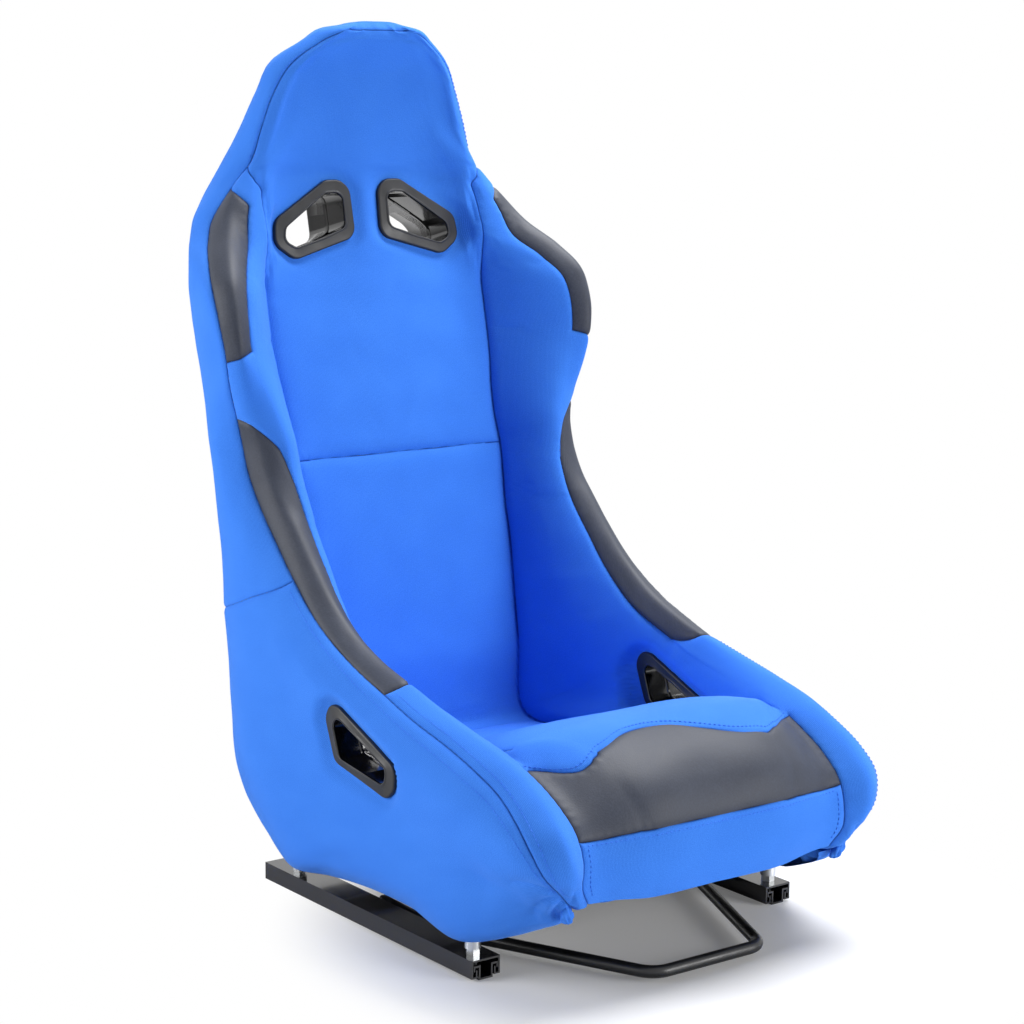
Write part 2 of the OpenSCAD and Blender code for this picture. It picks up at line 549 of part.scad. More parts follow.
// ---- Upholstery ----
module head_cover() color(BLUE) difference() {
  ring_loft(rows(0, NECK_ROW), 0);
  ring_loft(rows(HEAD_FOAM_TOP, NECK_ROW), cover_t);
  ring_loft([NECK_ROW - CUT_OVER, NECK_ROW + CUT_OVER], cover_t);
}
module head_foam() color(FOAM) difference() {
  ring_loft(rows(HEAD_FOAM_TOP, NECK_ROW), cover_t);
  swept_bar(frame_path(), tube_d / 2 + pad_gap, TUBE_SIDES);
}
module insert_upper() color(BLUE) difference() {
  cover(NECK_ROW, INSERT_SEAM_ROW, -COL_INSERT, COL_INSERT);
  shoulder_room();
}
module insert_lower() color(BLUE)
  cover(INSERT_SEAM_ROW, TUCK_ROW, -COL_INSERT, COL_INSERT);
module back_foam() color(FOAM) difference() {
  us = rows(BACK_FOAM_ROW, TUCK_ROW);
  back = cover_t + back_pad_t;
  two_sheets([for (u = us) [for (j = [-COL_INSERT:COL_INSERT]) sunk(u, j, cover_t)]],
             [for (u = us) [for (j = [-COL_INSERT:COL_INSERT]) sunk(u, j, back)]]);
  shoulder_room();
}
module inner_wall() {
  cover(NECK_ROW, TUCK_ROW, COL_INSERT, COL_CREST_IN);
  cover(SHOULDER_PATCH_ROW, LUMBAR_ROW, COL_CREST_IN, COL_SEAM);
}
module inner_wall_left() color(BLUE) inner_wall();
module inner_wall_right() color(BLUE) mirror([1, 0, 0]) inner_wall();
module shoulder_foam_left() color(FOAM)
  wrapped_foam(SHOULDER_FOAM_ROW, WING_ROW, COL_WALL, COL_CORNER);
module shoulder_foam_right() color(FOAM) mirror([1, 0, 0])
  wrapped_foam(SHOULDER_FOAM_ROW, WING_ROW, COL_WALL, COL_CORNER);
module side_foam() difference() {
  wrapped_foam(WING_ROW, TUCK_ROW, COL_INSERT, COL_CORNER);
  hip_room();
}
module side_foam_left() color(FOAM) side_foam();
module side_foam_right() color(FOAM) mirror([1, 0, 0]) side_foam();
module shoulder_patch_left() color(GREY)
  cover(NECK_ROW, SHOULDER_PATCH_ROW, COL_CREST_IN, COL_SEAM);
module shoulder_patch_right() color(GREY) mirror([1, 0, 0])
  cover(NECK_ROW, SHOULDER_PATCH_ROW, COL_CREST_IN, COL_SEAM);
module lumbar_patch_left() color(GREY) cover(LUMBAR_ROW, TUCK_ROW, COL_CREST_IN, COL_SEAM);
module lumbar_patch_right() color(GREY) mirror([1, 0, 0])
  cover(LUMBAR_ROW, TUCK_ROW, COL_CREST_IN, COL_SEAM);
module thigh_bolster() difference() {
  union() {
    cover(TUCK_ROW, RIDGE_ROW, COL_INSERT, COL_SEAM);
    cover(RIDGE_ROW, FOLD_ROW, COL_CREST_IN, COL_SEAM);
  }
  hip_room();
}
module thigh_bolster_left() color(BLUE) thigh_bolster();
module thigh_bolster_right() color(BLUE) mirror([1, 0, 0]) thigh_bolster();
module thigh_foam() difference() {
  wrapped_foam(TUCK_ROW, THIGH_FOAM_END, COL_INSERT, COL_SIDE);
  hip_room();
}
module thigh_foam_left() color(FOAM) thigh_foam();
module thigh_foam_right() color(FOAM) mirror([1, 0, 0]) thigh_foam();
module side_panel_upper_left() color(BLUE) cover(NECK_ROW, SIDE_SEAM_ROW, COL_SEAM, COL_CORNER);
module side_panel_upper_right() color(BLUE) mirror([1, 0, 0])
  cover(NECK_ROW, SIDE_SEAM_ROW, COL_SEAM, COL_CORNER);
module side_panel_lower() difference() {
  cover(SIDE_SEAM_ROW, FOLD_ROW, COL_SEAM, COL_CORNER);
  hip_room();
}
module side_panel_lower_left() color(BLUE) side_panel_lower();
module side_panel_lower_right() color(BLUE) mirror([1, 0, 0]) side_panel_lower();
module rear_panel() color(BLUE) difference() {
  cover(NECK_ROW, REAR_END_ROW, COL_CORNER, RING_N - COL_CORNER);
  shoulder_room();
}
module cushion_cover() color(BLUE) cover(TUCK_ROW, RIDGE_ROW, -COL_INSERT, COL_INSERT);
module cushion_patch() color(GREY) cover(RIDGE_ROW, NOSE_ROW, -COL_CREST_IN, COL_CREST_IN);
module front_band() color(BLUE) cover(NOSE_ROW, LAST_ROW, -COL_CREST_IN, COL_CREST_IN);
module cushion_foam() color(FOAM) difference() {
  us = rows(TUCK_ROW, FOLD_ROW);
  top_sheet = [for (u = us) [for (j = [-COL_INSERT:COL_INSERT]) sunk(u, j, cover_t)]];
  two_sheets(top_sheet, [for (r = top_sheet) [for (p = r) [p.x, p.y, cushion_base_z]]]);
  front_tube_solid(tube_d / 2 + pad_gap);
  translate([-nose, 0, 0]) rotate([90, 0, 90]) linear_extrude(2 * nose)
    polygon(concat(FOAM_FRONT, [[FOAM_FRONT_CUT, FOAM_FRONT[1].y], [FOAM_FRONT_CUT, FOAM_FRONT[0].y]]));
}

// ---- Harness bezels ----
module shoulder_bezel_fronts() color(PLASTIC) both_sides() at_shoulder_front()
  bezel(SHOULDER_FLANGE, SHOULDER_OPENING, shoulder_half_len);
module shoulder_bezel_rears() color(PLASTIC) both_sides() at_shoulder_rear()
  bezel(SHOULDER_FLANGE, SHOULDER_OPENING, shoulder_half_len);
module hip_bezel_outers() color(PLASTIC) both_sides() at_hip_outer()
  bezel(HIP_FLANGE, HIP_OPENING, hip_half_len);
module hip_bezel_inners() color(PLASTIC) both_sides() at_hip_inner()
  bezel(HIP_FLANGE, HIP_OPENING, hip_half_len);

// ---- Frame ----
function frame_path() =
  let (half = concat(TUBE_ARCH, TUBE_SIDE), n = len(half))
  concat([for (i = [n - 1:-1:1]) flip(half[i])], half);
module frame_tube() color(STEEL) difference() {
  swept_bar(frame_path(), tube_d / 2, TUBE_SIDES);
  swept_bar(frame_path(), tube_d / 2 - tube_wall, TUBE_SIDES);
}
front_tube = TUBE_SIDE[len(TUBE_SIDE) - 1];
module front_tube_solid(r) {
  translate([-front_tube.x + tube_d / 2 + 1, front_tube.y, front_tube.z]) rotate([0, 90, 0])
    cylinder(r = r, h = 2 * front_tube.x - tube_d - 2, $fn = 16);
}
module frame_front_tube() color(STEEL) front_tube_solid(tube_d / 2);
// Places children on the plane that touches the backs of the side tubes at height z
module behind_back(z, t) {
  translate([0, tube_plane_y + tan(back_lean) * z, z]) rotate([-back_lean, 0, 0])
    translate([0, tube_d / 2 + pad_gap + t / 2, 0]) children();
}
module back_cross_plates() color(STEEL) for (z = CROSS_PLATE_Z) behind_back(z, plate_t)
  cube([2 * tube_side_x, plate_t, cross_plate_w], center = true);
module back_webbing() color(WEB) for (z = STRAP_Z) behind_back(z, strap_t)
  cube([2 * tube_side_x, strap_t, strap_w], center = true);
module base_rail(side) {
  translate([side * base_rail_x, 0, base_rail_z + base_rail_h / 2]) difference() {
    cube([base_rail_w, base_rail_len, base_rail_h], center = true);
    cube([base_rail_w - 2 * plate_t, base_rail_len + 2, base_rail_h - 2 * plate_t], center = true);
    for (end = [-1, 1])
      translate([side * (seat_bolt_x / 2 - base_rail_x), end * seat_bolt_y / 2, -base_rail_h])
        cylinder(d = bolt_d + 1, h = base_rail_h);
  }
}
module base_rail_left() color(STEEL) base_rail(1);
module base_rail_right() color(STEEL) base_rail(-1);
module base_cross_tubes() color(STEEL) for (y = BASE_CROSS_Y)
  translate([-base_rail_x + base_rail_w / 2, y, base_rail_z + base_rail_h / 2]) rotate([0, 90, 0])
    difference() {
      cylinder(d = base_rail_h, h = 2 * base_rail_x - base_rail_w);
      translate([0, 0, -1]) cylinder(d = base_rail_h - 2 * tube_wall, h = 2 * base_rail_x);
    }
module gusset_plates() color(STEEL) both_sides() for (outline = GUSSETS)
  translate([base_rail_x + pad_gap, 0, 0]) rotate([90, 0, 90]) linear_extrude(plate_t)
    polygon(outline);
module seat_pan() color(STEEL) {
  foot = base_rail_z + base_rail_h;
  top = cushion_base_z - pad_gap;
  half = [[0, top], [PAN_HALF_W, top], [PAN_FOOT_X, foot + pan_t], [base_rail_x, foot + pan_t],
    [base_rail_x, foot], [PAN_FOOT_X - pan_t, foot], [PAN_HALF_W - pan_t, top - pan_t],
    [0, top - pan_t]];
  translate([0, PAN_REAR, 0]) rotate([90, 0, 0]) linear_extrude(PAN_REAR - PAN_FRONT)
    polygon(concat(half, [for (i = [len(half) - 2:-1:1]) [-half[i].x, half[i].y]]));
}

// ---- Fasteners ----
module at_seat_bolts() {
  for (x = [-1, 1], y = [-1, 1])
    translate([x * seat_bolt_x / 2, y * seat_bolt_y / 2, 0]) children();
}
web_under = rail_h - rail_t;
nut_top = rail_h + nut_h;
bush_z = base_rail_z + plate_t;
bush_len = base_rail_h - 2 * plate_t;
thread_gap = 0.05;
module threaded_bushes() color(ZINC) at_seat_bolts() translate([0, 0, bush_z]) difference() {
  cylinder(d = bolt_d + 5, h = bush_len);
  translate([0, 0, -1]) cylinder(r = bolt_d / 2 + thread_gap, h = bush_len + 2);
}
module seat_bolts() color(ZINC) at_seat_bolts() {
  translate([0, 0, web_under - bolt_head_h]) cylinder(d = bolt_head_d, h = bolt_head_h);
  translate([0, 0, web_under]) cylinder(d = bolt_d, h = bush_z + bush_len - web_under);
}
module seat_nuts() color(ZINC) at_seat_bolts() translate([0, 0, rail_h]) difference() {
  cylinder(d = nut_af / cos(30), h = nut_h, $fn = 6);
  translate([0, 0, -1]) cylinder(r = bolt_d / 2 + thread_gap, h = nut_h + 2);
}
module seat_spacers() color(ZINC) at_seat_bolts() translate([0, 0, nut_top]) difference() {
  cylinder(d = spacer_d, h = base_rail_z - nut_top);
  translate([0, 0, -1]) cylinder(r = bolt_d / 2 + thread_gap, h = base_rail_z);
}

// ---- Slide rails ----
ball_seat_z = web_under - ball_d - 2 * ball_gap;
ball_x = (floor_rail_w + floor_channel_w) / 4;
module along_rails(len) {
  translate([0, rail_mid_y + len / 2, 0]) rotate([90, 0, 0]) linear_extrude(len) children();
}
// Seat rail: an upside-down channel with its edges turned in and up round the floor rail
module seat_rail(side) translate([side * rail_spacing / 2, 0, 0]) difference() {
  along_rails(rail_len) {
    h = rail_w / 2;
    profile = [[h, LIP_Z], [h, rail_h], [-h, rail_h], [-h, LIP_Z], [-LIP_X, LIP_Z],
      [-LIP_X, LIP_TOP], [-LIP_X - LIP_T, LIP_TOP], [-LIP_X - LIP_T, LIP_Z + LIP_T],
      [-h + rail_t, LIP_Z + LIP_T], [-h + rail_t, web_under], [h - rail_t, web_under],
      [h - rail_t, LIP_Z + LIP_T], [LIP_X + LIP_T, LIP_Z + LIP_T], [LIP_X + LIP_T, LIP_TOP],
      [LIP_X, LIP_TOP], [LIP_X, LIP_Z]];
    polygon(profile);
  }
  for (end = [-1, 1])
    translate([side * (seat_bolt_x - rail_spacing) / 2, end * seat_bolt_y / 2, web_under - 1])
      cylinder(r = bolt_d / 2 + thread_gap, h = rail_t + 2);
}
module seat_rail_left() color(RAIL) seat_rail(1);
module seat_rail_right() color(RAIL) seat_rail(-1);
// Floor rail: an open channel with its edges turned out and down
module floor_rail(side) translate([side * rail_spacing / 2, 0, 0]) difference() {
  along_rails(rail_len) {
    c = floor_channel_w / 2;
    w = floor_rail_w / 2;
    polygon([[-c, 0], [c, 0], [c, ball_seat_z - rail_t], [w - HOOK_T, ball_seat_z - rail_t],
      [w - HOOK_T, HOOK_Z], [w, HOOK_Z], [w, ball_seat_z], [c - rail_t, ball_seat_z],
      [c - rail_t, rail_t], [-c + rail_t, rail_t], [-c + rail_t, ball_seat_z], [-w, ball_seat_z],
      [-w, HOOK_Z], [-w + HOOK_T, HOOK_Z], [-w + HOOK_T, ball_seat_z - rail_t],
      [-c, ball_seat_z - rail_t]]);
  }
  for (end = [-1, 1]) translate([0, end * floor_bolt_y / 2, -1])
    cylinder(d = floor_hole_d, h = rail_t + 2);
}
module floor_rail_left() color(RAIL) floor_rail(1);
module floor_rail_right() color(RAIL) floor_rail(-1);
cage_half_w = ball_x + CAGE_OUTER;
cage_window = ball_x - CAGE_INNER;
module at_balls() {
  for (side = [-1, 1], k = [-4:4])
    translate([side * ball_x, rail_mid_y + k * ball_pitch, ball_seat_z + ball_gap + ball_d / 2])
      children();
}
module ball_cages() color(ZINC) for (side = [-1, 1]) translate([side * rail_spacing / 2, 0, 0])
  difference() {
    translate([0, rail_mid_y, ball_seat_z + ball_gap + ball_d / 2])
      cube([2 * cage_half_w, cage_len, cage_t], center = true);
    translate([0, rail_mid_y, ball_seat_z + ball_d / 2])
      cube([2 * cage_window, cage_len - CAGE_END, 2 * cage_t], center = true);
    at_balls() cylinder(d = ball_d + CAGE_PLAY, h = 2 * cage_t, center = true, $fn = 24);
  }
module bearing_balls() color(CHROME) for (side = [-1, 1])
  translate([side * rail_spacing / 2, 0, 0]) at_balls() sphere(d = ball_d, $fn = 16);
// Latch rack: a flat strip on the floor beside each floor rail, notched for the lever's tooth
rack_out = rail_spacing / 2 - floor_channel_w / 2;
lever_x = rail_spacing / 2 - rail_w / 2 - LEVER_STANDOFF;
module latch_racks() color(RAIL) both_sides() difference() {
  translate([lever_x - RACK_EDGE, tooth_y - RACK_LEN / 2, 0])
    cube([rack_out - lever_x + RACK_EDGE, RACK_LEN, rail_t]);
  for (k = [-RACK_NOTCHES:RACK_NOTCHES])
    translate([lever_x - 2, tooth_y + k * notch_pitch - TOOTH_W / 2 - 1, -1])
      cube([lever_t + 4, TOOTH_W + 2, rail_t + 2]);
}

// ---- Release bar ----
leg_x = lever_x - bar_d / 2 - 0.1;
bar_corners = [[leg_x, LEG_END], [leg_x, LEG_BEND], [bar_half_w, -bar_front],
  [-bar_half_w, -bar_front]];
bar_half = concat([bar_corners[0]],
  corner_arc(bar_corners[0], bar_corners[1], bar_corners[2], bar_bend, 5),
  corner_arc(bar_corners[1], bar_corners[2], bar_corners[3], bar_bend, 5));
bar_path = concat([for (p = bar_half) [p.x, p.y, bar_z]],
  [for (i = [len(bar_half) - 1:-1:0]) [-bar_half[i].x, bar_half[i].y, bar_z]]);
module release_bar() color(POWDER) swept_bar(bar_path, bar_d / 2, 12);
module latch_levers() color(RAIL) both_sides() translate([lever_x, 0, 0]) rotate([90, 0, 90])
  linear_extrude(lever_t) difference() {
    union() {
      translate([pivot_y, pivot_z]) circle(d = LEVER_BOSS);
      polygon([[pivot_y, pivot_z + LEVER_BOSS / 2], [pivot_y, pivot_z - LEVER_BOSS / 2],
        [tooth_y + TOOTH_W / 2, bar_z - LEVER_H / 2], [tooth_y + TOOTH_W / 2, tooth_rest_z],
        [tooth_y - TOOTH_W / 2, tooth_rest_z], [tooth_y - TOOTH_W / 2, bar_z - LEVER_H / 2],
        [LEG_BEND + 4, bar_z - LEVER_H / 2], [LEG_BEND + 4, bar_z + LEVER_H / 2]]);
    }
    translate([pivot_y, pivot_z]) circle(r = pin_d / 2 + pin_gap);
  }
module pivot_pins() color(ZINC) both_sides() translate([0, pivot_y, pivot_z]) rotate([0, 90, 0]) {
  translate([0, 0, lever_x - 1]) cylinder(d = pin_d, h = rail_spacing / 2 - rail_w / 2 - lever_x + 1);
  translate([0, 0, lever_x - 3]) cylinder(d = pin_d + 4, h = 2);
}
module return_springs() color(ZINC) both_sides() {
  turns = 3;
  start = lever_x + lever_t + 1;
  span = rail_spacing / 2 - rail_w / 2 - start - 1;
  r = pin_d / 2 + spring_wire;
  swept_bar([for (k = [0:turns * 12])
    [start + spring_wire / 2 + (span - spring_wire) * k / (turns * 12),
     pivot_y + r * cos(30 * k), pivot_z + r * sin(30 * k)]], spring_wire / 2, 6);
}

head_cover();
head_foam();
insert_upper();
insert_lower();
back_foam();
inner_wall_left();
inner_wall_right();
shoulder_foam_left();
shoulder_foam_right();
side_foam_left();
side_foam_right();
shoulder_patch_left();
shoulder_patch_right();
lumbar_patch_left();
lumbar_patch_right();
thigh_bolster_left();
thigh_bolster_right();
thigh_foam_left();
thigh_foam_right();
side_panel_upper_left();
side_panel_upper_right();
side_panel_lower_left();
side_panel_lower_right();
rear_panel();
cushion_cover();
cushion_patch();
front_band();
cushion_foam();
shoulder_bezel_fronts();
shoulder_bezel_rears();
hip_bezel_outers();
hip_bezel_inners();
frame_tube();
frame_front_tube();
back_cross_plates();
back_webbing();
base_rail_left();
base_rail_right();
base_cross_tubes();
gusset_plates();
seat_pan();
threaded_bushes();
seat_bolts();
seat_nuts();
seat_spacers();
seat_rail_left();
seat_rail_right();
floor_rail_left();
floor_rail_right();
ball_cages();
bearing_balls();
latch_racks();
release_bar();
latch_levers();
pivot_pins();
return_springs();
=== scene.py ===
"""Fixed-back bucket seat on two slide rails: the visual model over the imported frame.

Lengths in the tables are millimetres. +X is the sitter's left, the sitter faces -Y, +Z is up.
"""
import json
import math

import bmesh
import bpy
import numpy as np
from mathutils import Matrix, Vector, kdtree
from mathutils.noise import noise as smooth_noise


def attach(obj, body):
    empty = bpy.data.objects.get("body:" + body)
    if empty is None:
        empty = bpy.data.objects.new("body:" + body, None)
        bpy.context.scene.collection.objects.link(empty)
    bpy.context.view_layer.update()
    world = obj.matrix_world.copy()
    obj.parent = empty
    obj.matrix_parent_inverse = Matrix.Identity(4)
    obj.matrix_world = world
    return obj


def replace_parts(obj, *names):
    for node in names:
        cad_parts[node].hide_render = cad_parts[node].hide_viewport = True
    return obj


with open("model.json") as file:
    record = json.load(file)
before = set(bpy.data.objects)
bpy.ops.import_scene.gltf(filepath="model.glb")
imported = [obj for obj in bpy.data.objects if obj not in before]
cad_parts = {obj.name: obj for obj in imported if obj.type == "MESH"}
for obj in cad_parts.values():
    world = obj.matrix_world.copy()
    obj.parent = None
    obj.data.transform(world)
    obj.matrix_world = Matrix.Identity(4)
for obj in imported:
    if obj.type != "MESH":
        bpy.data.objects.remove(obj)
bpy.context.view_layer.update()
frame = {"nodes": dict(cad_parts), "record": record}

MM = 0.001
NODES = frame["nodes"]
SIDES = ((1, "left"), (-1, "right"))

# ---------------------------------------------------------------- the seat's form
# The stations run from the head's top, down the back, round the hip and forward to the front
# roll. Points of the sitter's left half: centre of the sat-on side, insert's edge, inner edge of
# the crest, how far the crest is crowned (a single number), outer seam, fullest point of the side,
# rear corner (the lower edge further forward), edge of the rear panel, rear centre.
STATIONS = [
    [(0, 312, 941), (12, 312, 941), (21, 312, 941), 0,
     (29, 313, 940), (38, 320, 938), (34, 328, 938), (21, 331, 940), (0, 332, 941)],
    [(0, 304, 932), (21, 303, 932), (37, 302, 932), 1,
     (50, 301, 932), (68, 319, 931), (62, 339, 931), (42, 347, 931), (0, 350, 931)],
    [(0, 311, 918), (44, 310, 918), (62, 308, 918), 2,
     (75, 308, 918), (82, 324, 922), (77, 344, 919), (57, 354, 917), (0, 359, 917)],
    [(0, 325, 892), (68, 324, 892), (92, 321, 892), 3,
     (108, 320, 892), (116, 338, 894), (109, 364, 893), (82, 381, 892), (0, 388, 892)],
    [(0, 333, 860), (82, 332, 860), (108, 328, 860), 3,
     (126, 327, 860), (130, 348, 860), (119, 376, 860), (90, 396, 860), (0, 403, 860)],
    [(0, 337, 822), (98, 334, 822), (120, 331, 822), 3,
     (140, 330, 822), (144, 355, 822), (132, 388, 822), (100, 406, 822), (0, 412, 822)],
    [(0, 338, 789), (122, 330, 789), (138, 326, 789), 3,
     (151, 333, 789), (159, 355, 789), (147, 396, 789), (112, 412, 789), (0, 417, 789)],
    [(0, 338, 765), (140, 324, 765), (157, 320, 765), 4,
     (167, 341, 765), (172, 360, 765), (160, 400, 765), (122, 414, 765), (0, 418, 765)],
    [(0, 334, 745), (145, 316, 745), (166, 310, 745), 6,
     (184, 340, 745), (189, 360, 745), (176, 396, 745), (132, 414, 745), (0, 418, 745)],
    [(0, 331, 725), (146, 308, 725), (174, 301, 725), 8,
     (201, 335, 725), (207, 352, 725), (188, 390, 725), (140, 412, 725), (0, 414, 725)],
    [(0, 325, 702), (147, 301, 702), (180, 290, 702), 9,
     (220, 312, 704), (226, 330, 702), (200, 374, 702), (148, 405, 702), (0, 408, 702)],
    [(0, 319, 675), (148, 304, 675), (201, 258, 675), 9,
     (242, 274, 678), (244, 300, 675), (208, 362, 675), (155, 398, 675), (0, 402, 675)],
    [(0, 312, 650), (149, 307, 650), (216, 233, 650), 9,
     (253, 248, 653), (251, 285, 650), (212, 358, 650), (160, 390, 650), (0, 395, 650)],
    [(0, 304, 620), (149, 301, 620), (220, 223, 620), 9,
     (254, 234, 622), (251, 275, 620), (213, 352, 620), (163, 382, 620), (0, 388, 620)],
    [(0, 295, 590), (149, 294, 590), (219, 219, 590), 9,
     (250, 230, 592), (249, 272, 590), (213, 344, 590), (164, 374, 590), (0, 380, 590)],
    [(0, 286, 555), (147, 285, 555), (211, 215, 555), 8,
     (242, 234, 555), (243, 275, 555), (212, 335, 555), (165, 364, 555), (0, 370, 555)],
    [(0, 276, 520), (143, 276, 520), (200, 210, 520), 7,
     (230, 241, 520), (238, 275, 520), (212, 327, 520), (166, 354, 520), (0, 360, 520)],
    [(0, 268, 490), (141, 267, 490), (190, 203, 490), 7,
     (223, 241, 490), (236, 272, 488), (213, 320, 488), (167, 345, 488), (0, 351, 488)],
    [(0, 258, 457.7), (142, 257, 457.7), (184, 196, 455), 8,
     (221, 228, 452), (236, 264, 450), (214, 309, 448), (168, 333, 448), (0, 340, 448)],
    [(0, 248, 418), (140, 247, 418), (180, 178, 418), 9,
     (220, 205, 419), (237, 248, 410), (215, 300, 400), (169, 322, 400), (0, 328, 400)],
    [(0, 241, 394), (138, 241, 394), (179, 168, 402), 10,
     (220, 173, 385), (238, 228, 370), (215, 291, 350), (170, 312, 350), (0, 316, 350)],
    [(0, 228, 350), (136, 228, 350), (180, 137, 364), 10,
     (221, 138, 353), (240, 198, 325), (215, 286, 296), (171, 300, 296), (0, 303, 296)],
    [(0, 213, 296), (131, 213, 296), (181, 103, 326), 10,
     (223, 98, 323), (241, 165, 285), (216, 276, 240), (172, 289, 240), (0, 291, 240)],
    [(0, 197, 236), (126, 197, 236), (181, 58, 291), 10,
     (224, 50, 297), (242, 130, 245), (216, 267, 184), (172, 277, 184), (0, 279, 184)],
    [(0, 173, 152), (118, 173, 152), (184, 10, 268), 11,
     (224, 2, 278), (242, 90, 210), (217, 254, 130), (172, 264, 130), (0, 266, 130)],
    [(0, 100, 152), (133, 100, 148), (183, -40, 252), 12,
     (224, -42, 264), (241, 45, 185), (216, 232, 92), (172, 242, 84), (0, 244, 80)],
    [(0, 0, 182), (169, 5, 172), (182, -92, 241), 12,
     (226, -93, 250), (240, 0, 168), (217, 180, 60), (172, 182, 58), (0, 150, 74)],
    [(0, -90, 216), (179, -90, 205), (181, -145, 233), 11,
     (226, -148, 237), (239, -50, 155), (214, 140, 40), (180, 140, 44), (0, 60, 74)],
    [(0, -160, 239), (178, -160, 226), (178, -195, 226), 10,
     (227, -200, 222), (238, -105, 142), (215, 60, 47), (180, 60, 47), (0, -20, 74)],
    [(0, -205, 244), (140, -205, 238), (175, -237, 211), 10,
     (227, -235, 208), (237, -165, 130), (215, -80, 46), (180, -80, 46), (0, -100, 74)],
    [(0, -250, 232), (120, -250, 225), (174, -268, 194), 10,
     (230, -268, 188), (235, -210, 122), (212, -165, 36), (180, -165, 40), (0, -165, 76)],
    [(0, -295, 200), (110, -290, 195), (173, -293, 172), 10,
     (230, -290, 166), (230, -248, 115), (205, -210, 50), (170, -205, 60), (0, -210, 80)],
    [(0, -310, 160), (100, -308, 158), (172, -303, 145), 9,
     (219, -298, 139), (215, -275, 112), (192, -255, 72), (140, -250, 78), (0, -255, 86)],
    [(0, -312, 125), (92, -310, 124), (172, -302, 121), 5,
     (200, -297, 119), (202, -285, 104), (182, -272, 82), (130, -268, 84), (0, -272, 90)],
    [(0, -303, 97), (88, -300, 96), (160, -295, 101), 3,
     (184, -294, 103), (186, -288, 97), (178, -280, 92), (120, -280, 92), (0, -284, 95)],
]
# Stations: the insert's cross seam, the foot of the back and the front roll
WAIST, TUCK, LAST = 18, 24, 34
# Columns: edge of the insert, inner edge of the crest, outer seam, rear corner, rear centre
INSERT, CREST_IN, SEAM, CORNER, BACK = 2, 4, 6, 8, 10
# Stations between which the insert's edge turns from flush to creased, and back again
CREASE_BEGINS, CREASE_ENDS = (6.6, 8.4), (27.5, 29.5)
# How far the inner wall bellies out round the hip slots: station, distance
WALL_OUT = [(22, 0), (23, 7), (24, 17), (25, 16), (26, 7), (27, 0)]
CROWN = 1.5  # the crown's own point stands out this many times as far as the crest does
MIRROR = np.array([-1.0, 1, 1])
FINE = 12  # samples of the form per station and per column


def unit(v):
    """Vectors of length 1 in the same directions."""
    return v / np.maximum(np.linalg.norm(v, axis=-1, keepdims=True), 1e-9)


def smooth(x, low, high):
    """Eases from 0 at low to 1 at high."""
    t = np.clip((np.asarray(x, float) - low) / (high - low), 0, 1)
    return t * t * (3 - 2 * t)


def run_along(points):
    """Length along a row of points, from the first one to each."""
    steps = np.linalg.norm(np.diff(points, axis=0), axis=-1)
    return np.concatenate([np.zeros((1,) + steps.shape[1:]), np.cumsum(steps, 0)])


def control_net():
    """The stations as an array: station, column (centre to rear), xyz; the crown is set out."""
    rows = []
    for i, (centre, edge, inner, crowned, seam, *rest) in enumerate(STATIONS):
        above, below = STATIONS[max(i - 1, 0)], STATIONS[min(i + 1, len(STATIONS) - 1)]
        way = np.subtract(below[2], above[2]) + np.subtract(below[4], above[4])
        out = unit(np.cross(way, np.subtract(seam, inner)))
        crown = np.add(inner, seam) / 2 + out * CROWN * crowned
        # Keeps the sat-on side flat up to near the insert's edge
        flat = (0.86 * edge[0], centre[1] + 0.15 * (edge[1] - centre[1]), (centre[2] + edge[2]) / 2)
        rows.append([centre, flat, edge, inner, crown, seam, *rest])
    return np.array(rows, float)


NET = control_net()


def spline(points, t, ends=None):
    """Cubic through points (first axis) at parameters t; ends are the tangents at both ends."""
    p = np.asarray(points)
    chord = np.maximum(np.linalg.norm(p[1:] - p[:-1], axis=-1, keepdims=True), 1e-6)
    slope = (p[1:] - p[:-1]) / chord
    tangent = np.empty_like(p)
    tangent[1:-1] = (slope[:-1] * chord[1:] + slope[1:] * chord[:-1]) / (chord[1:] + chord[:-1])
    tangent[0], tangent[-1] = ends or (slope[0], slope[-1])
    i = np.clip(np.floor(t).astype(int), 0, len(p) - 2)
    f = (t - i).reshape((-1,) + (1,) * (p.ndim - 1))
    return (
        p[i] * (1 + 2 * f) * (1 - f) ** 2
        + tangent[i] * chord[i] * f * (1 - f) ** 2
        + p[i + 1] * f * f * (3 - 2 * f)
        - tangent[i + 1] * chord[i] * f * f * (1 - f)
    )


def section(u, v):
    """Points at station u (a number) and columns v (an array, 0 to 10)."""
    line = spline(NET, np.array([u]))[0]
    line[0, 0] = line[-1, 0] = 0.0
    crease = float(smooth(u, *CREASE_BEGINS) * (1 - smooth(u, *CREASE_ENDS)))
    inner, outer = line[: INSERT + 1], line[INSERT:]
    joint = unit(outer[1] - inner[1])
    tangent_in = unit(joint * (1 - crease) + unit(inner[2] - inner[1]) * crease)
    tangent_out = unit(joint * (1 - crease) + unit(outer[1] - outer[0]) * crease)
    flat = v <= INSERT
    whole = np.concatenate([inner[:0:-1] * MIRROR, inner])
    # The inner wall has no point of its own between the insert and the crest
    t = np.where(v < CREST_IN, (v - INSERT) / 2, v - CREST_IN + 1)[~flat]
    points = np.empty((len(v), 3))
    points[flat] = spline(whole, v[flat] + INSERT, (tangent_in * MIRROR * -1, tangent_in))
    points[~flat] = spline(outer, t, (tangent_out, np.array([-1.0, 0, 0])))
    belly = np.interp(u, *zip(*WALL_OUT)) * smooth(v, INSERT, INSERT + 0.9)
    points[:, 0] += belly * (1 - smooth(v, CREST_IN - 0.6, CREST_IN + 0.2))
    return points


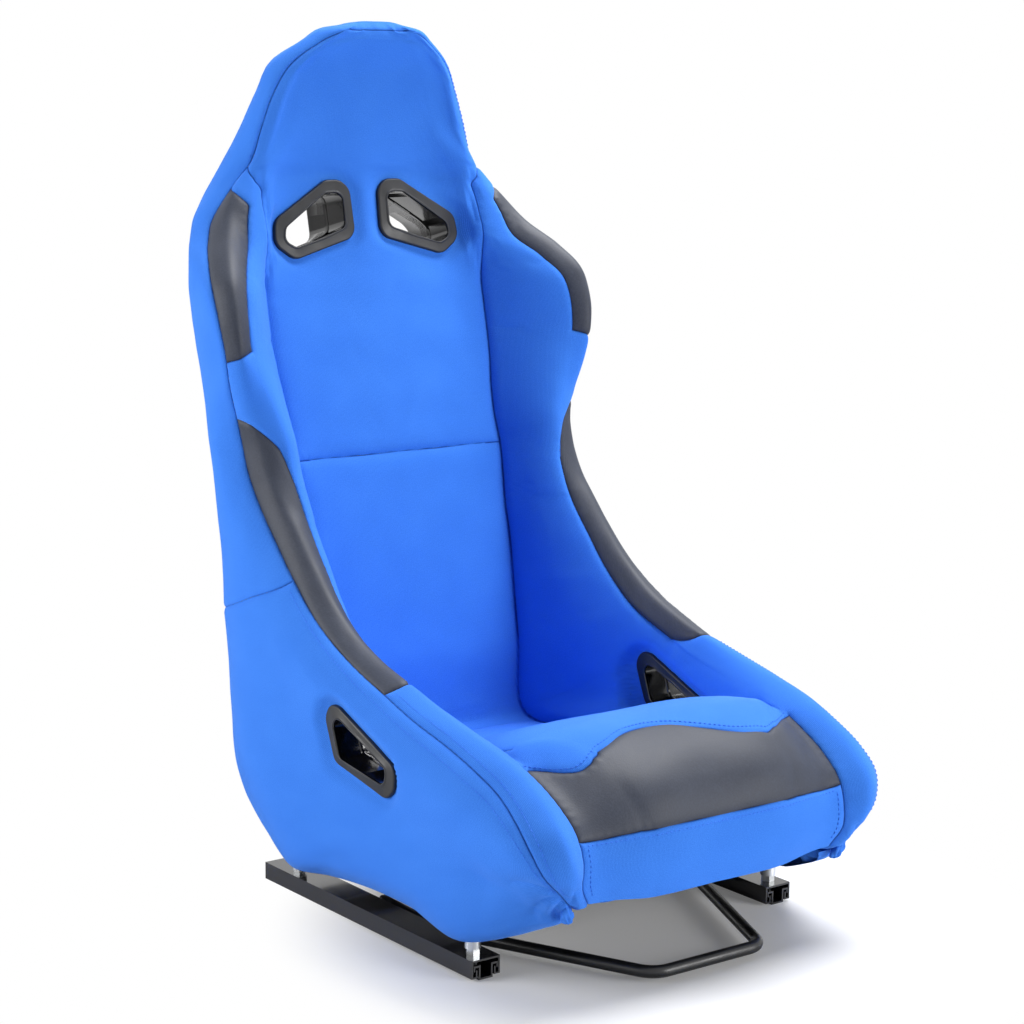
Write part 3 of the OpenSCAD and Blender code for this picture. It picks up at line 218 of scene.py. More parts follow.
def sampled_form():
    """The form sampled on an even grid of stations and columns."""
    v = np.linspace(0, BACK, BACK * FINE + 1)
    return np.array([section(u, v) for u in np.linspace(0, LAST, LAST * FINE + 1)])


def look_up(grid, a, b):
    """Value of a sampled field at row a and column b, between its four nearest samples."""
    i = np.clip(np.floor(a).astype(int), 0, grid.shape[0] - 2)
    j = np.clip(np.floor(b).astype(int), 0, grid.shape[1] - 2)
    f, g = (a - i)[..., None], (b - j)[..., None]
    near = grid[i, j] * (1 - f) + grid[i + 1, j] * f
    far = grid[i, j + 1] * (1 - f) + grid[i + 1, j + 1] * f
    return near * (1 - g) + far * g


GRID = sampled_form()
NORMAL = unit(np.cross(np.gradient(GRID, axis=0), np.gradient(GRID, axis=1)))


def on_form(u, v, grid=GRID):
    """Points of the form at stations u and columns v, where v is negative on the sitter's right."""
    u, v = np.broadcast_arrays(np.asarray(u, float), np.asarray(v, float))
    p = look_up(grid, np.clip(u, 0, LAST) * FINE, np.clip(np.abs(v), 0, BACK) * FINE)
    return p * np.where(v[..., None] < 0, MIRROR, 1.0)


def square_to_form(u, v):
    """Directions that point straight out of the form."""
    return unit(on_form(u, v, NORMAL))


# ---------------------------------------------------------------- seams
# Where the sewing lines run, as (column, station). Each is a smooth curve through its points.
HEAD_SEAM = [(0, 1.03), (3.7, 1.02), (4.6, 1.04), (5.4, 1.25), (6, 1.8)]
PATCH_TOP = [(-4, 28.5), (-3.6, 28.55), (-3.2, 28.93), (-2.88, 29.43), (-2.55, 29.78), (-2.15, 29.92),
             (-1.6, 29.87), (-1.1, 29.78), (-0.8, 29.63), (-0.6, 29.44), (-0.4, 29.32), (-0.2, 29.29),
             (0, 29.37), (0.2, 29.62), (0.43, 29.9), (0.65, 30.08), (0.95, 30.13), (1.6, 30.07),
             (2.15, 29.87), (2.6, 29.45), (3.1, 28.85), (3.55, 28.5), (4, 28.35)]
PATCH_FRONT = [(0, 31.82), (1, 31.8), (2, 31.76), (3, 31.55), (4, 31.22)]
SHOULDER_END = [(4, 14.03), (5, 14.22), (6, 14.42)]
LUMBAR_START = [(4, 18.3), (4.2, 17.45), (4.52, 16.93), (4.95, 16.5), (5.5, 16.3), (6, 16.25)]
LUMBAR_END = [(4, 24.3), (4.5, 24.8), (5.2, 25.0), (6, 24.9)]
# Stations where those lines meet the crest's inner edge
SHOULDER_LOW, LUMBAR_HIGH, LUMBAR_LOW = SHOULDER_END[0][1], LUMBAR_START[0][1], LUMBAR_END[0][1]
PATCH_CORNER = PATCH_TOP[-1][1]
FORK, FORK_END = 6.3, 7.6  # where the insert's edge seam leaves the outer seam, and runs straight
TIP, TIP_END = 7.3, 8.35  # where the shoulder patch begins in a tip, and has its full width
SIDE_SEAM = 21.0  # across the side panel
REAR_END = 25.0  # lower end of the rear panel
LOWER_EDGE = SEAM + 2.3  # column at which the lower side cloth ends, under the seat


def along(table, v):
    """Station of a sewing line at column v; a line that starts at 0 is the same on both sides."""
    x, y = np.array(table, float).T
    v = np.asarray(v, float) if x[0] < 0 else np.abs(np.asarray(v, float))
    v = np.clip(v, x[0], x[-1])
    slope = np.gradient(y, x)
    slope[0] = 0 if x[0] == 0 else slope[0]
    i = np.clip(np.searchsorted(x, v, side="right") - 1, 0, len(x) - 2)
    d = x[i + 1] - x[i]
    f = (v - x[i]) / d
    return (y[i] * (1 + 2 * f) * (1 - f) ** 2 + slope[i] * d * f * (1 - f) ** 2
            + y[i + 1] * f * f * (3 - 2 * f) - slope[i + 1] * d * f * f * (1 - f))


def patch_inner(u):
    """Column of the shoulder patch's inner edge, which leaves the outer seam in a tip."""
    return SEAM - (SEAM - CREST_IN) * smooth(u, TIP, TIP_END)


def insert_edge(u):
    """Column of the insert's edge seam, which leaves the outer seam at the head."""
    return SEAM - (SEAM - INSERT) * smooth(u, FORK, FORK_END) ** 0.7


class Seam:
    """A sewing line with the depth and the half width of the valley that it pulls in the cover."""

    MARGIN = 25  # the seam isn't looked for further away than this

    def __init__(self, points, depth, width):
        self.run, self.depth, self.width = run_along(points), depth, width
        self.low, self.high = points.min(0) - self.MARGIN, points.max(0) + self.MARGIN
        self.tree = kdtree.KDTree(len(points))
        for k, p in enumerate(points):
            self.tree.insert(p, k)
        self.tree.balance()

    def near(self, points):
        """The points beside the seam: index, distance from it, and length along it."""
        for k in np.nonzero(np.all((points > self.low) & (points < self.high), axis=1))[0]:
            _, at, distance = self.tree.find(points[k])
            yield k, distance, self.run[at]


SEAMS = []


def sew(f, a, b, depth=1.9, width=3.2):
    """Sews along the form; f gives (station, column) for a value that runs from a to b."""
    count = max(60, int(40 * abs(b - a)))
    u, v = np.array([f(t) for t in np.linspace(a, b, count)], float).T
    SEAMS.append(Seam(on_form(u, v), depth, width))


def sew_down(column, a, b, *valley):
    """Sews from station a to b on both sides; column is a number or a function of the station."""
    for side, _ in SIDES:
        sew(lambda u: (u, side * (column(u) if callable(column) else column)), a, b, *valley)


def sew_across(table, a, b, *valley):
    """Sews from column a to b; table is a sewing line, or one station."""
    sew(lambda v: (station(table, v), v), a, b, *valley)


def station(table, v):
    """Station of a sewing line at column v; a plain number is the same everywhere."""
    return along(table, v) if isinstance(table, list) else table


# Folds that run into the knot at each lower front corner: from, to, depth, half width
FOLDS = [((33.3, 6.05), (32.2, 7.3), 3.6, 5.0), ((33.6, 6.3), (33.4, 7.7), 4.4, 4.5),
         ((33.2, 6.0), (31.2, 6.75), 3.1, 6.0), ((33.7, 5.6), (32.9, 4.9), 3.1, 4.0)]


def sew_cover():
    """All the cover's seams, and the folds at its lower front corners."""
    sew_down(SEAM, 1.8, LAST)
    sew_down(insert_edge, FORK, TUCK, 2.4, 4.0)
    sew_down(patch_inner, TIP, SHOULDER_LOW)
    sew_down(CREST_IN, LUMBAR_HIGH, LUMBAR_LOW)
    sew_down(CREST_IN, PATCH_CORNER, LAST)
    sew_down(INSERT, TUCK, PATCH_CORNER, 2.4, 5.0)
    sew_down(CORNER, 0, REAR_END)
    for side, _ in SIDES:
        for patch_end in (SHOULDER_END, LUMBAR_START, LUMBAR_END):
            sew_across(patch_end, side * CREST_IN, side * SEAM)
        sew_across(SIDE_SEAM, side * SEAM, side * CORNER)
        for (u0, v0), (u1, v1), depth, width in FOLDS:
            sew(lambda t: (u0 + (u1 - u0) * t, (v0 + (v1 - v0) * t) * side), 0, 1, depth, width)
    for a, b, depth in ((-6, -2.4, 1.9), (-2.4, 2.4, 0.7), (2.4, 6, 1.9)):
        sew_across(HEAD_SEAM, a, b, depth)
    sew_across(WAIST, -INSERT, INSERT, 1.3, 2.6)
    sew_across(TUCK, -INSERT, INSERT, 2.4, 7.0)
    sew_across(PATCH_TOP, -CREST_IN, CREST_IN)
    sew_across(PATCH_FRONT, -CREST_IN, CREST_IN)


sew_cover()
FOLD_DEPTH = 3.0  # a valley deeper than this is a fold of the cloth and has no seam in it
SHADE_LINE_WIDTH, NICK = 0.75, 0.8  # half widths of the painted shade along a seam line and of the nick under it
PUCKER = 11.0  # length of the small waves that the thread gathers along a seam
PUCKER_HEIGHT, PUCKER_AWAY = 0.22, 4.0


def seam_pull(points):
    """How far the seams pull each point of the cover in, with the small puckers beside them, and
    how near each point is to the seam line itself, from 0 to 1, which weights the painted shade along the
    seam."""
    pull, pucker, seam_shade_weight = np.zeros((3, len(points)))
    for seam in SEAMS:
        sewn = seam.depth < FOLD_DEPTH
        for k, d, s in seam.near(points):
            if d >= 5 * seam.width:
                continue
            nick = math.exp(-d / NICK) if sewn else 0.0
            pull[k] = max(pull[k], seam.depth * math.exp(-((d / seam.width) ** 1.3)) + nick)
            if sewn:
                seam_shade_weight[k] = max(seam_shade_weight[k], math.exp(-((d / SHADE_LINE_WIDTH) ** 2)))
            wave = math.sin(2 * math.pi * s / PUCKER + 2.5 * math.sin(s / 37.0))
            wave *= 0.6 + 0.4 * math.sin(s / 61.0)
            wave *= math.exp(-(((d - PUCKER_AWAY) / PUCKER_AWAY) ** 2)) * PUCKER_HEIGHT
            if abs(wave) > abs(pucker[k]):
                pucker[k] = wave
    return pull - pucker, seam_shade_weight


# ---------------------------------------------------------------- mesh helpers
def new_mesh(name, points, faces, material, body="seat"):
    """An object from points in millimetres; what rides on no body is part of the stage."""
    mesh = bpy.data.meshes.new(name)
    mesh.from_pydata([tuple(float(c) * MM for c in p) for p in points], [], [tuple(f) for f in faces])
    mesh.validate()
    mesh.shade_smooth()
    if material:
        mesh.materials.append(material)
    obj = bpy.data.objects.new(name, mesh)
    bpy.context.scene.collection.objects.link(obj)
    if body:
        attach(obj, body)
    return obj


def grid_faces(rows, cols, base=0, ring=False):
    """Quads over rows of points, from the point base on; a ring's last column meets its first."""
    wide = cols if ring else cols + 1
    for i in range(rows):
        for j in range(cols):
            a, b = base + i * wide + j, base + i * wide + (j + 1) % wide
            yield a, b, b + wide, a + wide


def clean(obj, merge=0.0, outward=False):
    """Joins points that lie within merge, drops stray points, and can turn all faces outward."""
    bm = bmesh.new()
    bm.from_mesh(obj.data)
    if merge:
        bmesh.ops.remove_doubles(bm, verts=bm.verts, dist=merge * MM)
    bmesh.ops.delete(bm, geom=[v for v in bm.verts if not v.link_faces], context="VERTS")
    if outward:
        bmesh.ops.recalc_face_normals(bm, faces=bm.faces)
    bm.to_mesh(obj.data)
    bm.free()
    obj.data.shade_smooth()


# ---------------------------------------------------------------- swelling of the padding
COARSE = 4  # simulated points per station and per column
SWELL, SLIDE = 3.6, 1.5  # most that the cover swells out, and slides sideways
HELD = 9.0  # cloth nearer to a seam than this is held by it
SWELL_FRAMES = 20


def blow_out(blank):
    """Cloth settings: thin stretch fabric with a light pressure behind it and no weight."""
    cloth = blank.modifiers.new("Cloth", "CLOTH")
    c = cloth.settings
    c.quality = 5
    c.mass = 0.25
    c.tension_stiffness = c.compression_stiffness = 12
    c.shear_stiffness = 5
    c.bending_stiffness = 0.4
    c.use_pressure = True
    c.uniform_pressure_force = 4
    c.vertex_group_mass = "sewn"
    c.effector_weights.gravity = 0
    cloth.collision_settings.use_collision = False
    cloth.point_cache.frame_start = 1
    cloth.point_cache.frame_end = SWELL_FRAMES
    for frame_number in range(1, SWELL_FRAMES + 1):
        bpy.context.scene.frame_set(frame_number)


def swelling():
    """Cloth over pressed foam: pinned at its seams, blown out between them, read back as a field."""
    nu, nv = LAST * COARSE + 1, 2 * BACK * COARSE
    u, v = np.meshgrid(np.linspace(0, LAST, nu), np.arange(nv) / COARSE - BACK, indexing="ij")
    u, v = u.ravel(), v.ravel()
    rest, out = on_form(u, v), square_to_form(u, v)
    faces = [(a, d, c, b) for a, b, c, d in grid_faces(nu - 1, nv, ring=True)]
    blank = new_mesh("cover_blank", rest, faces, None, body=None)
    held = np.zeros(len(rest))
    for seam in SEAMS:
        for k, distance, _ in seam.near(rest):
            held[k] = max(held[k], 1 - min(distance / HELD, 1.0))
    held[(u < 0.3) | (u > LAST - 0.4)] = 1
    pins = blank.vertex_groups.new(name="sewn")
    for k in np.nonzero(held)[0]:
        pins.add([int(k)], float(held[k]), "REPLACE")
    blow_out(blank)
    blown = blank.evaluated_get(bpy.context.evaluated_depsgraph_get())
    now = np.empty(len(rest) * 3)
    blown.data.vertices.foreach_get("co", now)
    move = now.reshape(-1, 3) / MM - rest
    bpy.context.scene.frame_set(1)
    bpy.data.meshes.remove(blank.data)
    proud = np.einsum("ij,ij->i", move, out)
    slide = move - out * proud[:, None]
    proud = SWELL * np.tanh(proud / SWELL)
    slide *= (SLIDE / np.maximum(np.linalg.norm(slide, axis=1), SLIDE))[:, None]
    field = (out * proud[:, None] + slide).reshape(nu, nv, 3)
    return np.concatenate([field, field[:, :1]], 1)


FIELD = swelling()


def swell_at(u, v):
    """Movement of the cover at (u, v) by the swelling."""
    return look_up(FIELD, np.clip(u, 0, LAST) * COARSE, (np.clip(v, -BACK, BACK) + BACK) * COARSE)


# ---------------------------------------------------------------- harness slots
SHOULDER_FLANGE = [(19, 29), (17, -27), (102, -51), (127, -33), (124, -5), (51, 39), (32, 39)]
SHOULDER_OPENING = [(31, 20), (31, -16), (98, -37), (113, -29), (110, -14), (54, 23), (40, 24)]
HIP_FLANGE = [(-80, 0), (-79, -24), (-66, -37), (30, -19), (48, 26), (38, 42), (22, 41)]
HIP_OPENING = [(-65, -4), (-62, -23), (19, -12), (31, 20), (25, 28), (15, 27)]
SHOULDER_SLOT, HIP_SLOT = (0.0, 332, 725), (236, 0, 200)  # where their flanges lie
SHOULDER_DEPTH, HIP_DEPTH = 39.5, 25.75  # from a mouth to where the two halves of the tube meet
SLOT_LEAN = math.radians(11)
FLANGE_BACK = -0.4  # the cover lies this far behind the flange's back face
BLEND = 16.0  # distance over which the cover runs up to a flange
REACH, WALL_REACH = 27.0, 48.0  # how far off the cover may start, and the deep inner wall
CUT, FLARED_CUT = 3.2, 6.6  # the cloth ends this far outside the opening


def corner_arc(a, b, c, r, n):
    """Arc of radius r that rounds the corner b between a and c."""
    a, b, c = (np.array(p, float) for p in (a, b, c))
    u, w = unit(a - b), unit(c - b)
    half = math.acos(float(np.clip(u @ w, -1, 1))) / 2
    centre = b + unit(u + w) * r / math.sin(half)
    start, end = b + u * r / math.tan(half) - centre, b + w * r / math.tan(half) - centre
    return [centre + unit(start + (end - start) * k / n) * r for k in range(n + 1)]


def rounded(outline, r, n):
    """The outline with each corner rounded."""
    trios = zip(outline[-1:] + outline[:-1], outline, outline[1:] + outline[:1])
    return np.array([p for trio in trios for p in corner_arc(*trio, r, n)])


def distance_to(outline, points):
    """Signed distance of 2-D points to a closed outline, negative inside."""
    best, inside = np.full(len(points), 1e9), np.zeros(len(points), bool)
    for p, q in zip(outline, np.roll(outline, -1, axis=0)):
        e, w = q - p, points - p
        t = np.clip(w @ e / max(e @ e, 1e-9), 0, 1)
        best = np.minimum(best, np.linalg.norm(w - t[:, None] * e, axis=1))
        rise = q[1] - p[1] if q[1] != p[1] else 1e-9
        crossed = (p[1] > points[:, 1]) != (q[1] > points[:, 1])
        inside ^= crossed & (points[:, 0] < (q[0] - p[0]) * (points[:, 1] - p[1]) / rise + p[0])
    return np.where(inside, -best, best)


class Slot:
    """A mouth of a harness slot: where its flange lies, and its two outlines."""

    def __init__(self, datum, across, up, out, flange, opening, corners, centre, depth):
        self.datum, self.across, self.up, self.out = (np.array(x, float) for x in (datum, across, up, out))
        self.flange, self.opening = rounded(flange, corners[0], 10), rounded(opening, corners[1], 8)
        self.centre, self.depth = np.array(centre, float), depth
        # Rear mouths of the shoulder slots flare out, so their hole in the cloth is larger
        self.flare = 0.5 if self.out[1] > 0.5 else 0.0
        self.cut = FLARED_CUT if self.flare else CUT
        self.on_wall = self.out[0] * self.datum[0] < 0
        self.reach = WALL_REACH if self.on_wall else REACH

    def local(self, points):
        """Points in the flange's own plane, and their height over it."""
        p = points - self.datum
        return np.stack([p @ self.across, p @ self.up], -1), p @ self.out

    def place(self, a, b, h):
        return self.datum + self.across * a + self.up * b + self.out * h


def slots():
    """The eight mouths by the names of their bezels."""
    up = np.array([0, math.sin(SLOT_LEAN), math.cos(SLOT_LEAN)])
    out = np.array([0, -math.cos(SLOT_LEAN), math.sin(SLOT_LEAN)])
    front = np.array(SHOULDER_SLOT)
    rear = front - out * 2 * SHOULDER_DEPTH
    shoulder = (SHOULDER_FLANGE, SHOULDER_OPENING, (17, 9.5), (68, -8), SHOULDER_DEPTH)
    hip = (HIP_FLANGE, HIP_OPENING, (15, 8), (-14, 3), HIP_DEPTH)
    x, y, z = HIP_SLOT
    found = {}
    for side, word in SIDES:
        way = np.array([float(side), 0, 0])
        outer, inner = (side * x, y, z), (side * (x - 2 * HIP_DEPTH), y, z)
        found[f"shoulder_bezel_front_{word}"] = Slot(front, way, up, out, *shoulder)
        found[f"shoulder_bezel_rear_{word}"] = Slot(rear, way, up, -out, *shoulder)
        found[f"hip_bezel_outer_{word}"] = Slot(outer, (0, 1, 0), (0, 0, 1), way, *hip)
        found[f"hip_bezel_inner_{word}"] = Slot(inner, (0, 1, 0), (0, 0, 1), -way, *hip)
    return found


SLOTS = slots()


def fit_slots(points, v):
    """Lays the cover against the flanges; returns the points and which of them the openings take."""
    gone = np.zeros(len(points), bool)
    for slot in SLOTS.values():
        flat, height = slot.local(points)
        low, high = slot.flange.min(0) - BLEND, slot.flange.max(0) + BLEND
        beside = np.all((flat > low) & (flat < high), axis=1)
        near = np.nonzero((height > -REACH) & (height < slot.reach) & beside)[0]
        if not len(near):
            continue
        flat, height, column = flat[near], height[near], np.abs(v[near])
        weight = 1 - smooth(distance_to(slot.flange, flat), 0, BLEND)
        weight *= 1 - smooth(-height, REACH - 11, REACH)
        ahead = REACH + (slot.reach - REACH) * smooth(column, INSERT, INSERT + 0.3)
        weight *= 1 - smooth(height, ahead - 14, ahead)
        points[near] += slot.out * ((FLANGE_BACK - height) * weight)[:, None]
        cut = distance_to(slot.opening, flat) < slot.cut
        gone[near] |= cut & (column > INSERT + 0.02) if slot.on_wall else cut
    return points, gone


def in_slots(points):
    """Which points lie in or right beside the tunnel of a harness slot."""
    ahead, behind, beside = 25, 5, 4.0
    inside = np.zeros(len(points), bool)
    for slot in SLOTS.values():
        flat, height = slot.local(points)
        near = np.nonzero((height < ahead) & (height > -slot.depth - behind))[0]
        if len(near):
            inside[near] |= distance_to(slot.opening, flat[near]) < beside
    return inside


# ---------------------------------------------------------------- cloth
# A sheet's first rows lie at these distances from its seam, and its last rows too
ROWS_AT_SEAM = np.array([0, 0.5, 1.1, 2.0, 3.4, 5.4])
WELD = 0.02  # points of one piece of cloth nearer than this are one
BROAD, NARROW = 46.0, 19.0  # sizes of the unevenness of stretched cloth
UNEVEN, GATHERED = 0.4, 1.5  # heights of that unevenness, and of the folds at the front corners


def clustered(n, length):
    """n + 1 parameters from 0 to 1, close together near both ends, where the seams are."""
    start = ROWS_AT_SEAM / length
    even = np.linspace(start[-1], 1 - start[-1], n + 1 - 2 * (len(start) - 1))
    return np.concatenate([start[:-1], even, 1 - start[-2::-1]])


def wrinkle(points, out, u, v):
    """Small unevenness of stretched cloth, and the gathers at the lower front corners."""
    rough = np.array([smooth_noise(Vector(p / BROAD)) + 0.5 * smooth_noise(Vector(p / NARROW))
                      for p in points])
    fold = np.array([smooth_noise(Vector((p[0] / 30.0, p[1] / 9.0, p[2] / 9.0))) for p in points])
    gather = smooth(u, 31.8, 33.4) * smooth(np.abs(v), 4.4, 5.4) * (1 - smooth(np.abs(v), 7.4, 8.2))
    return points + out * (UNEVEN * rough + GATHERED * gather * fold)[:, None]


def pulled(u, v, sunk=0.0):
    """The cover at (u, v), drawn in by the seams and swelled between them, and the weights of the painted
    shade along its seam lines.
    """
    p, out = on_form(u, v), square_to_form(u, v)
    pull, seam_shade_weight = seam_pull(p)
    return p - out * (pull + sunk)[:, None] + swell_at(u, v), out, seam_shade_weight


class Cloth:
    """Collects sheets of one cloth piece into a mesh."""

    def __init__(self):
        # seam holds each point's weight of the painted shade along the seam lines
        self.points, self.faces, self.uv, self.seam = [], [], [], []

    def lay(self, points, uv, seam=None):
        """Adds points with their place along the cloth; returns the number of the first one."""
        base = len(self.points)
        self.points.extend(points)
        self.uv.extend(uv)
        self.seam.extend(np.zeros(len(points)) if seam is None else seam)
        return base

    def sheet(self, f, rows, cols, flip=False):
        """Adds a sheet; f(s, t) gives (station, column) for s along the stations and t across."""
        s, t = np.meshgrid(np.linspace(0, 1, 9), np.linspace(0, 1, 9), indexing="ij")
        rough = on_form(*f(s, t))
        tall = run_along(rough)[-1].mean()
        wide = run_along(rough.swapaxes(0, 1))[-1].mean()
        s, t = np.meshgrid(clustered(rows, max(tall, 14.0)), clustered(cols, max(wide, 14.0)), indexing="ij")
        u, v = (np.asarray(x, float) for x in np.broadcast_arrays(*f(s, t)))
        # Lengths along the cloth, which the weave follows
        flat = on_form(u, v)
        down, across = run_along(flat), run_along(flat.swapaxes(0, 1)).T
        across = across - across[:, across.shape[1] // 2][:, None]
        u, v = u.ravel(), v.ravel()
        p, out, seam_shade_weight = pulled(u, v)
        p, gone = fit_slots(wrinkle(p, out, u, v), v)
        base = self.lay(p, zip((across * MM).ravel(), (down * MM).ravel()), seam_shade_weight)
        for a, b, c, d in grid_faces(rows, cols):
            if not gone[[a, b, c, d]].any():
                quad = (base + a, base + d, base + c, base + b)
                self.faces.append(quad[::-1] if flip else quad)

    def build(self, name, material, nodes):
        """Makes the mesh, with its weave directions and the weights of the painted seam shade, in place of
        the nodes.
        """
        obj = new_mesh(name, self.points, self.faces, material)
        layer = obj.data.uv_layers.new(name="Cloth")
        loops = np.empty(len(obj.data.loops), int)
        obj.data.loops.foreach_get("vertex_index", loops)
        layer.data.foreach_set("uv", np.array(self.uv)[loops].ravel())
        # The Seam attribute carries the weight of the painted shade along the seam lines
        seam = obj.data.attributes.new("Seam", "FLOAT", "POINT")
        seam.data.foreach_set("value", np.array(self.seam, dtype=np.float32))
        clean(obj, merge=WELD)
        if nodes:
            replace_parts(obj, *nodes)


# ---------------------------------------------------------------- materials
# The darkest blue and the darkest grey here are painted shade for the seam lines
BLUE_DARK, BLUE_MID, BLUE_PALE, BLUE_SEAM_SHADE, BLUE_SHEEN = "#2c68cf", "#397be2", "#4d90f4", "#0c2a78", "#9ac8ff"
GREY_DARK, GREY_PALE, GREY_SEAM_SHADE = "#2a2e39", "#3b404d", "#0b0c10"
WALE = 1.5 * MM  # pitch of the knit's ribs, drawn coarse enough to show
COURSE = 1.1 * MM  # pitch of its rows, coarse too
WAVE = 0.314  # scale at which a wave texture repeats once per unit


def linear(hex_colour):
    """A written sRGB colour as the linear values that the shaders take."""
    c = [int(hex_colour[i : i + 2], 16) / 255 for i in (1, 3, 5)]
    return [x / 12.92 if x <= 0.04045 else ((x + 0.055) / 1.055) ** 2.4 for x in c] + [1.0]


class Nodes:
    """The node tree of a material or a world, built up by add()."""

    def __init__(self, owner, kind):
        owner.use_nodes = True
        self.owner, self.tree = owner, owner.node_tree
        self.tree.nodes.clear()
        self.out = self.tree.nodes.new("ShaderNodeOutput" + kind)

    def add(self, kind, inputs, output=0, stops=(), **settings):
        """Adds a node and returns one of its outputs. An input is a value or another node's
        output; stops are a colour ramp's positions and colours."""
        node = self.tree.nodes.new("ShaderNode" + kind)
        for key, value in settings.items():
            setattr(node, key, value)
        for key, value in inputs.items():
            if isinstance(value, bpy.types.NodeSocket):
                self.tree.links.new(value, node.inputs[key])
            else:
                node.inputs[key].default_value = value
        for k, (position, colour) in enumerate(stops):
            stop = node.color_ramp.elements[k] if k < 2 else node.color_ramp.elements.new(position)
            stop.position, stop.color = position, linear(colour)
        return node.outputs[output]

    def finish(self, shader):
        """Joins the shader to the output; returns the material or world."""
        self.tree.links.new(shader, self.out.inputs["Surface"])
        return self.owner


def painted_seam_shade(m, colour, shade):
    """Paints shade into the colour along the seam lines, where the cloth turns in and light is lost."""
    seam = m.add("Attribute", {}, "Fac", attribute_name="Seam")
    share = m.add("Math", {0: seam, 1: 0.8}, operation="MULTIPLY")
    return m.add("Mix", {0: share, 6: colour, 7: linear(shade)}, 2, data_type="RGBA")


def blue_cloth():
    """Warp-knit polyester laminated to foam: fine ribs and rows of loops, matt, its short fibres
    catching a pale blue light where the cloth turns away."""
    m = Nodes(bpy.data.materials.new("blue cloth"), "Material")
    uv = m.add("UVMap", {}, uv_map="Cloth")
    yarn = {"Vector": uv, "Detail": 2.0, "Detail Scale": 1.5}
    rib = m.add("TexWave", {**yarn, "Scale": WAVE / WALE, "Distortion": 1.2}, "Fac", bands_direction="X")
    row = m.add("TexWave", {**yarn, "Scale": WAVE / COURSE, "Distortion": 1.6}, "Fac", bands_direction="Y")
    fuzz = m.add("TexNoise", {"Vector": uv, "Scale": 1 / (1.3 * MM), "Detail": 3.0, "Roughness": 0.7}, "Fac")
    cloud = m.add("TexNoise", {"Vector": uv, "Scale": 1 / (55 * MM), "Detail": 3.0}, "Fac")
    loops = m.add("Math", {0: rib, 1: row}, operation="MULTIPLY")
    fibres = m.add("Math", {0: fuzz, 1: 0.75}, operation="MULTIPLY")
    knit = m.add("Math", {0: loops, 1: 0.45, 2: fibres}, operation="MULTIPLY_ADD")
    tone = m.add("Math", {0: cloud, 1: 0.22, 2: knit}, operation="MULTIPLY_ADD")
    dyed = m.add("ValToRGB", {"Fac": tone}, stops=[(0.25, BLUE_DARK), (0.62, BLUE_MID), (0.95, BLUE_PALE)])
    return m.finish(m.add("BsdfPrincipled", {
        "Base Color": painted_seam_shade(m, dyed, BLUE_SEAM_SHADE),
        "Roughness": 0.9,
        "Normal": m.add("Bump", {"Strength": 0.55, "Distance": 0.35 * MM, "Height": knit}),
        "Specular IOR Level": 0.15,
        "Sheen Weight": 0.28,
        "Sheen Roughness": 0.35,
        "Sheen Tint": linear(BLUE_SHEEN),
    }))


def grey_leatherette():
    """Soft PVC leatherette: shallow pebble grain under a satin skin, so light rolls over the
    crests in broad soft bands, with the grain's valleys a little darker."""
    m = Nodes(bpy.data.materials.new("grey leatherette"), "Material")
    uv = m.add("UVMap", {}, uv_map="Cloth")
    pebble = m.add("TexVoronoi", {"Vector": uv, "Scale": 1 / (1.6 * MM), "Randomness": 0.9}, "Distance",
                   feature="SMOOTH_F1")
    crease = m.add("TexNoise", {"Vector": uv, "Scale": 1 / (0.7 * MM), "Detail": 3.0}, "Fac")
    cloud = m.add("TexNoise", {"Vector": uv, "Scale": 1 / (40 * MM), "Detail": 2.0}, "Fac")
    grain = m.add("Math", {0: crease, 1: 0.4, 2: pebble}, operation="MULTIPLY_ADD")
    half_cloud = m.add("Math", {0: cloud, 1: 0.5}, operation="MULTIPLY")
    tone = m.add("Math", {0: grain, 1: 0.5, 2: half_cloud}, operation="MULTIPLY_ADD")
    dyed = m.add("ValToRGB", {"Fac": tone}, stops=[(0.2, GREY_DARK), (0.8, GREY_PALE)])
    return m.finish(m.add("BsdfPrincipled", {
        "Base Color": painted_seam_shade(m, dyed, GREY_SEAM_SHADE),
        "Roughness": m.add("MapRange", {"Value": tone, "To Min": 0.44, "To Max": 0.62}),
        "Normal": m.add("Bump", {"Strength": 0.3, "Distance": 0.3 * MM, "Height": grain}, invert=True),
        "Specular IOR Level": 0.28,
    }))


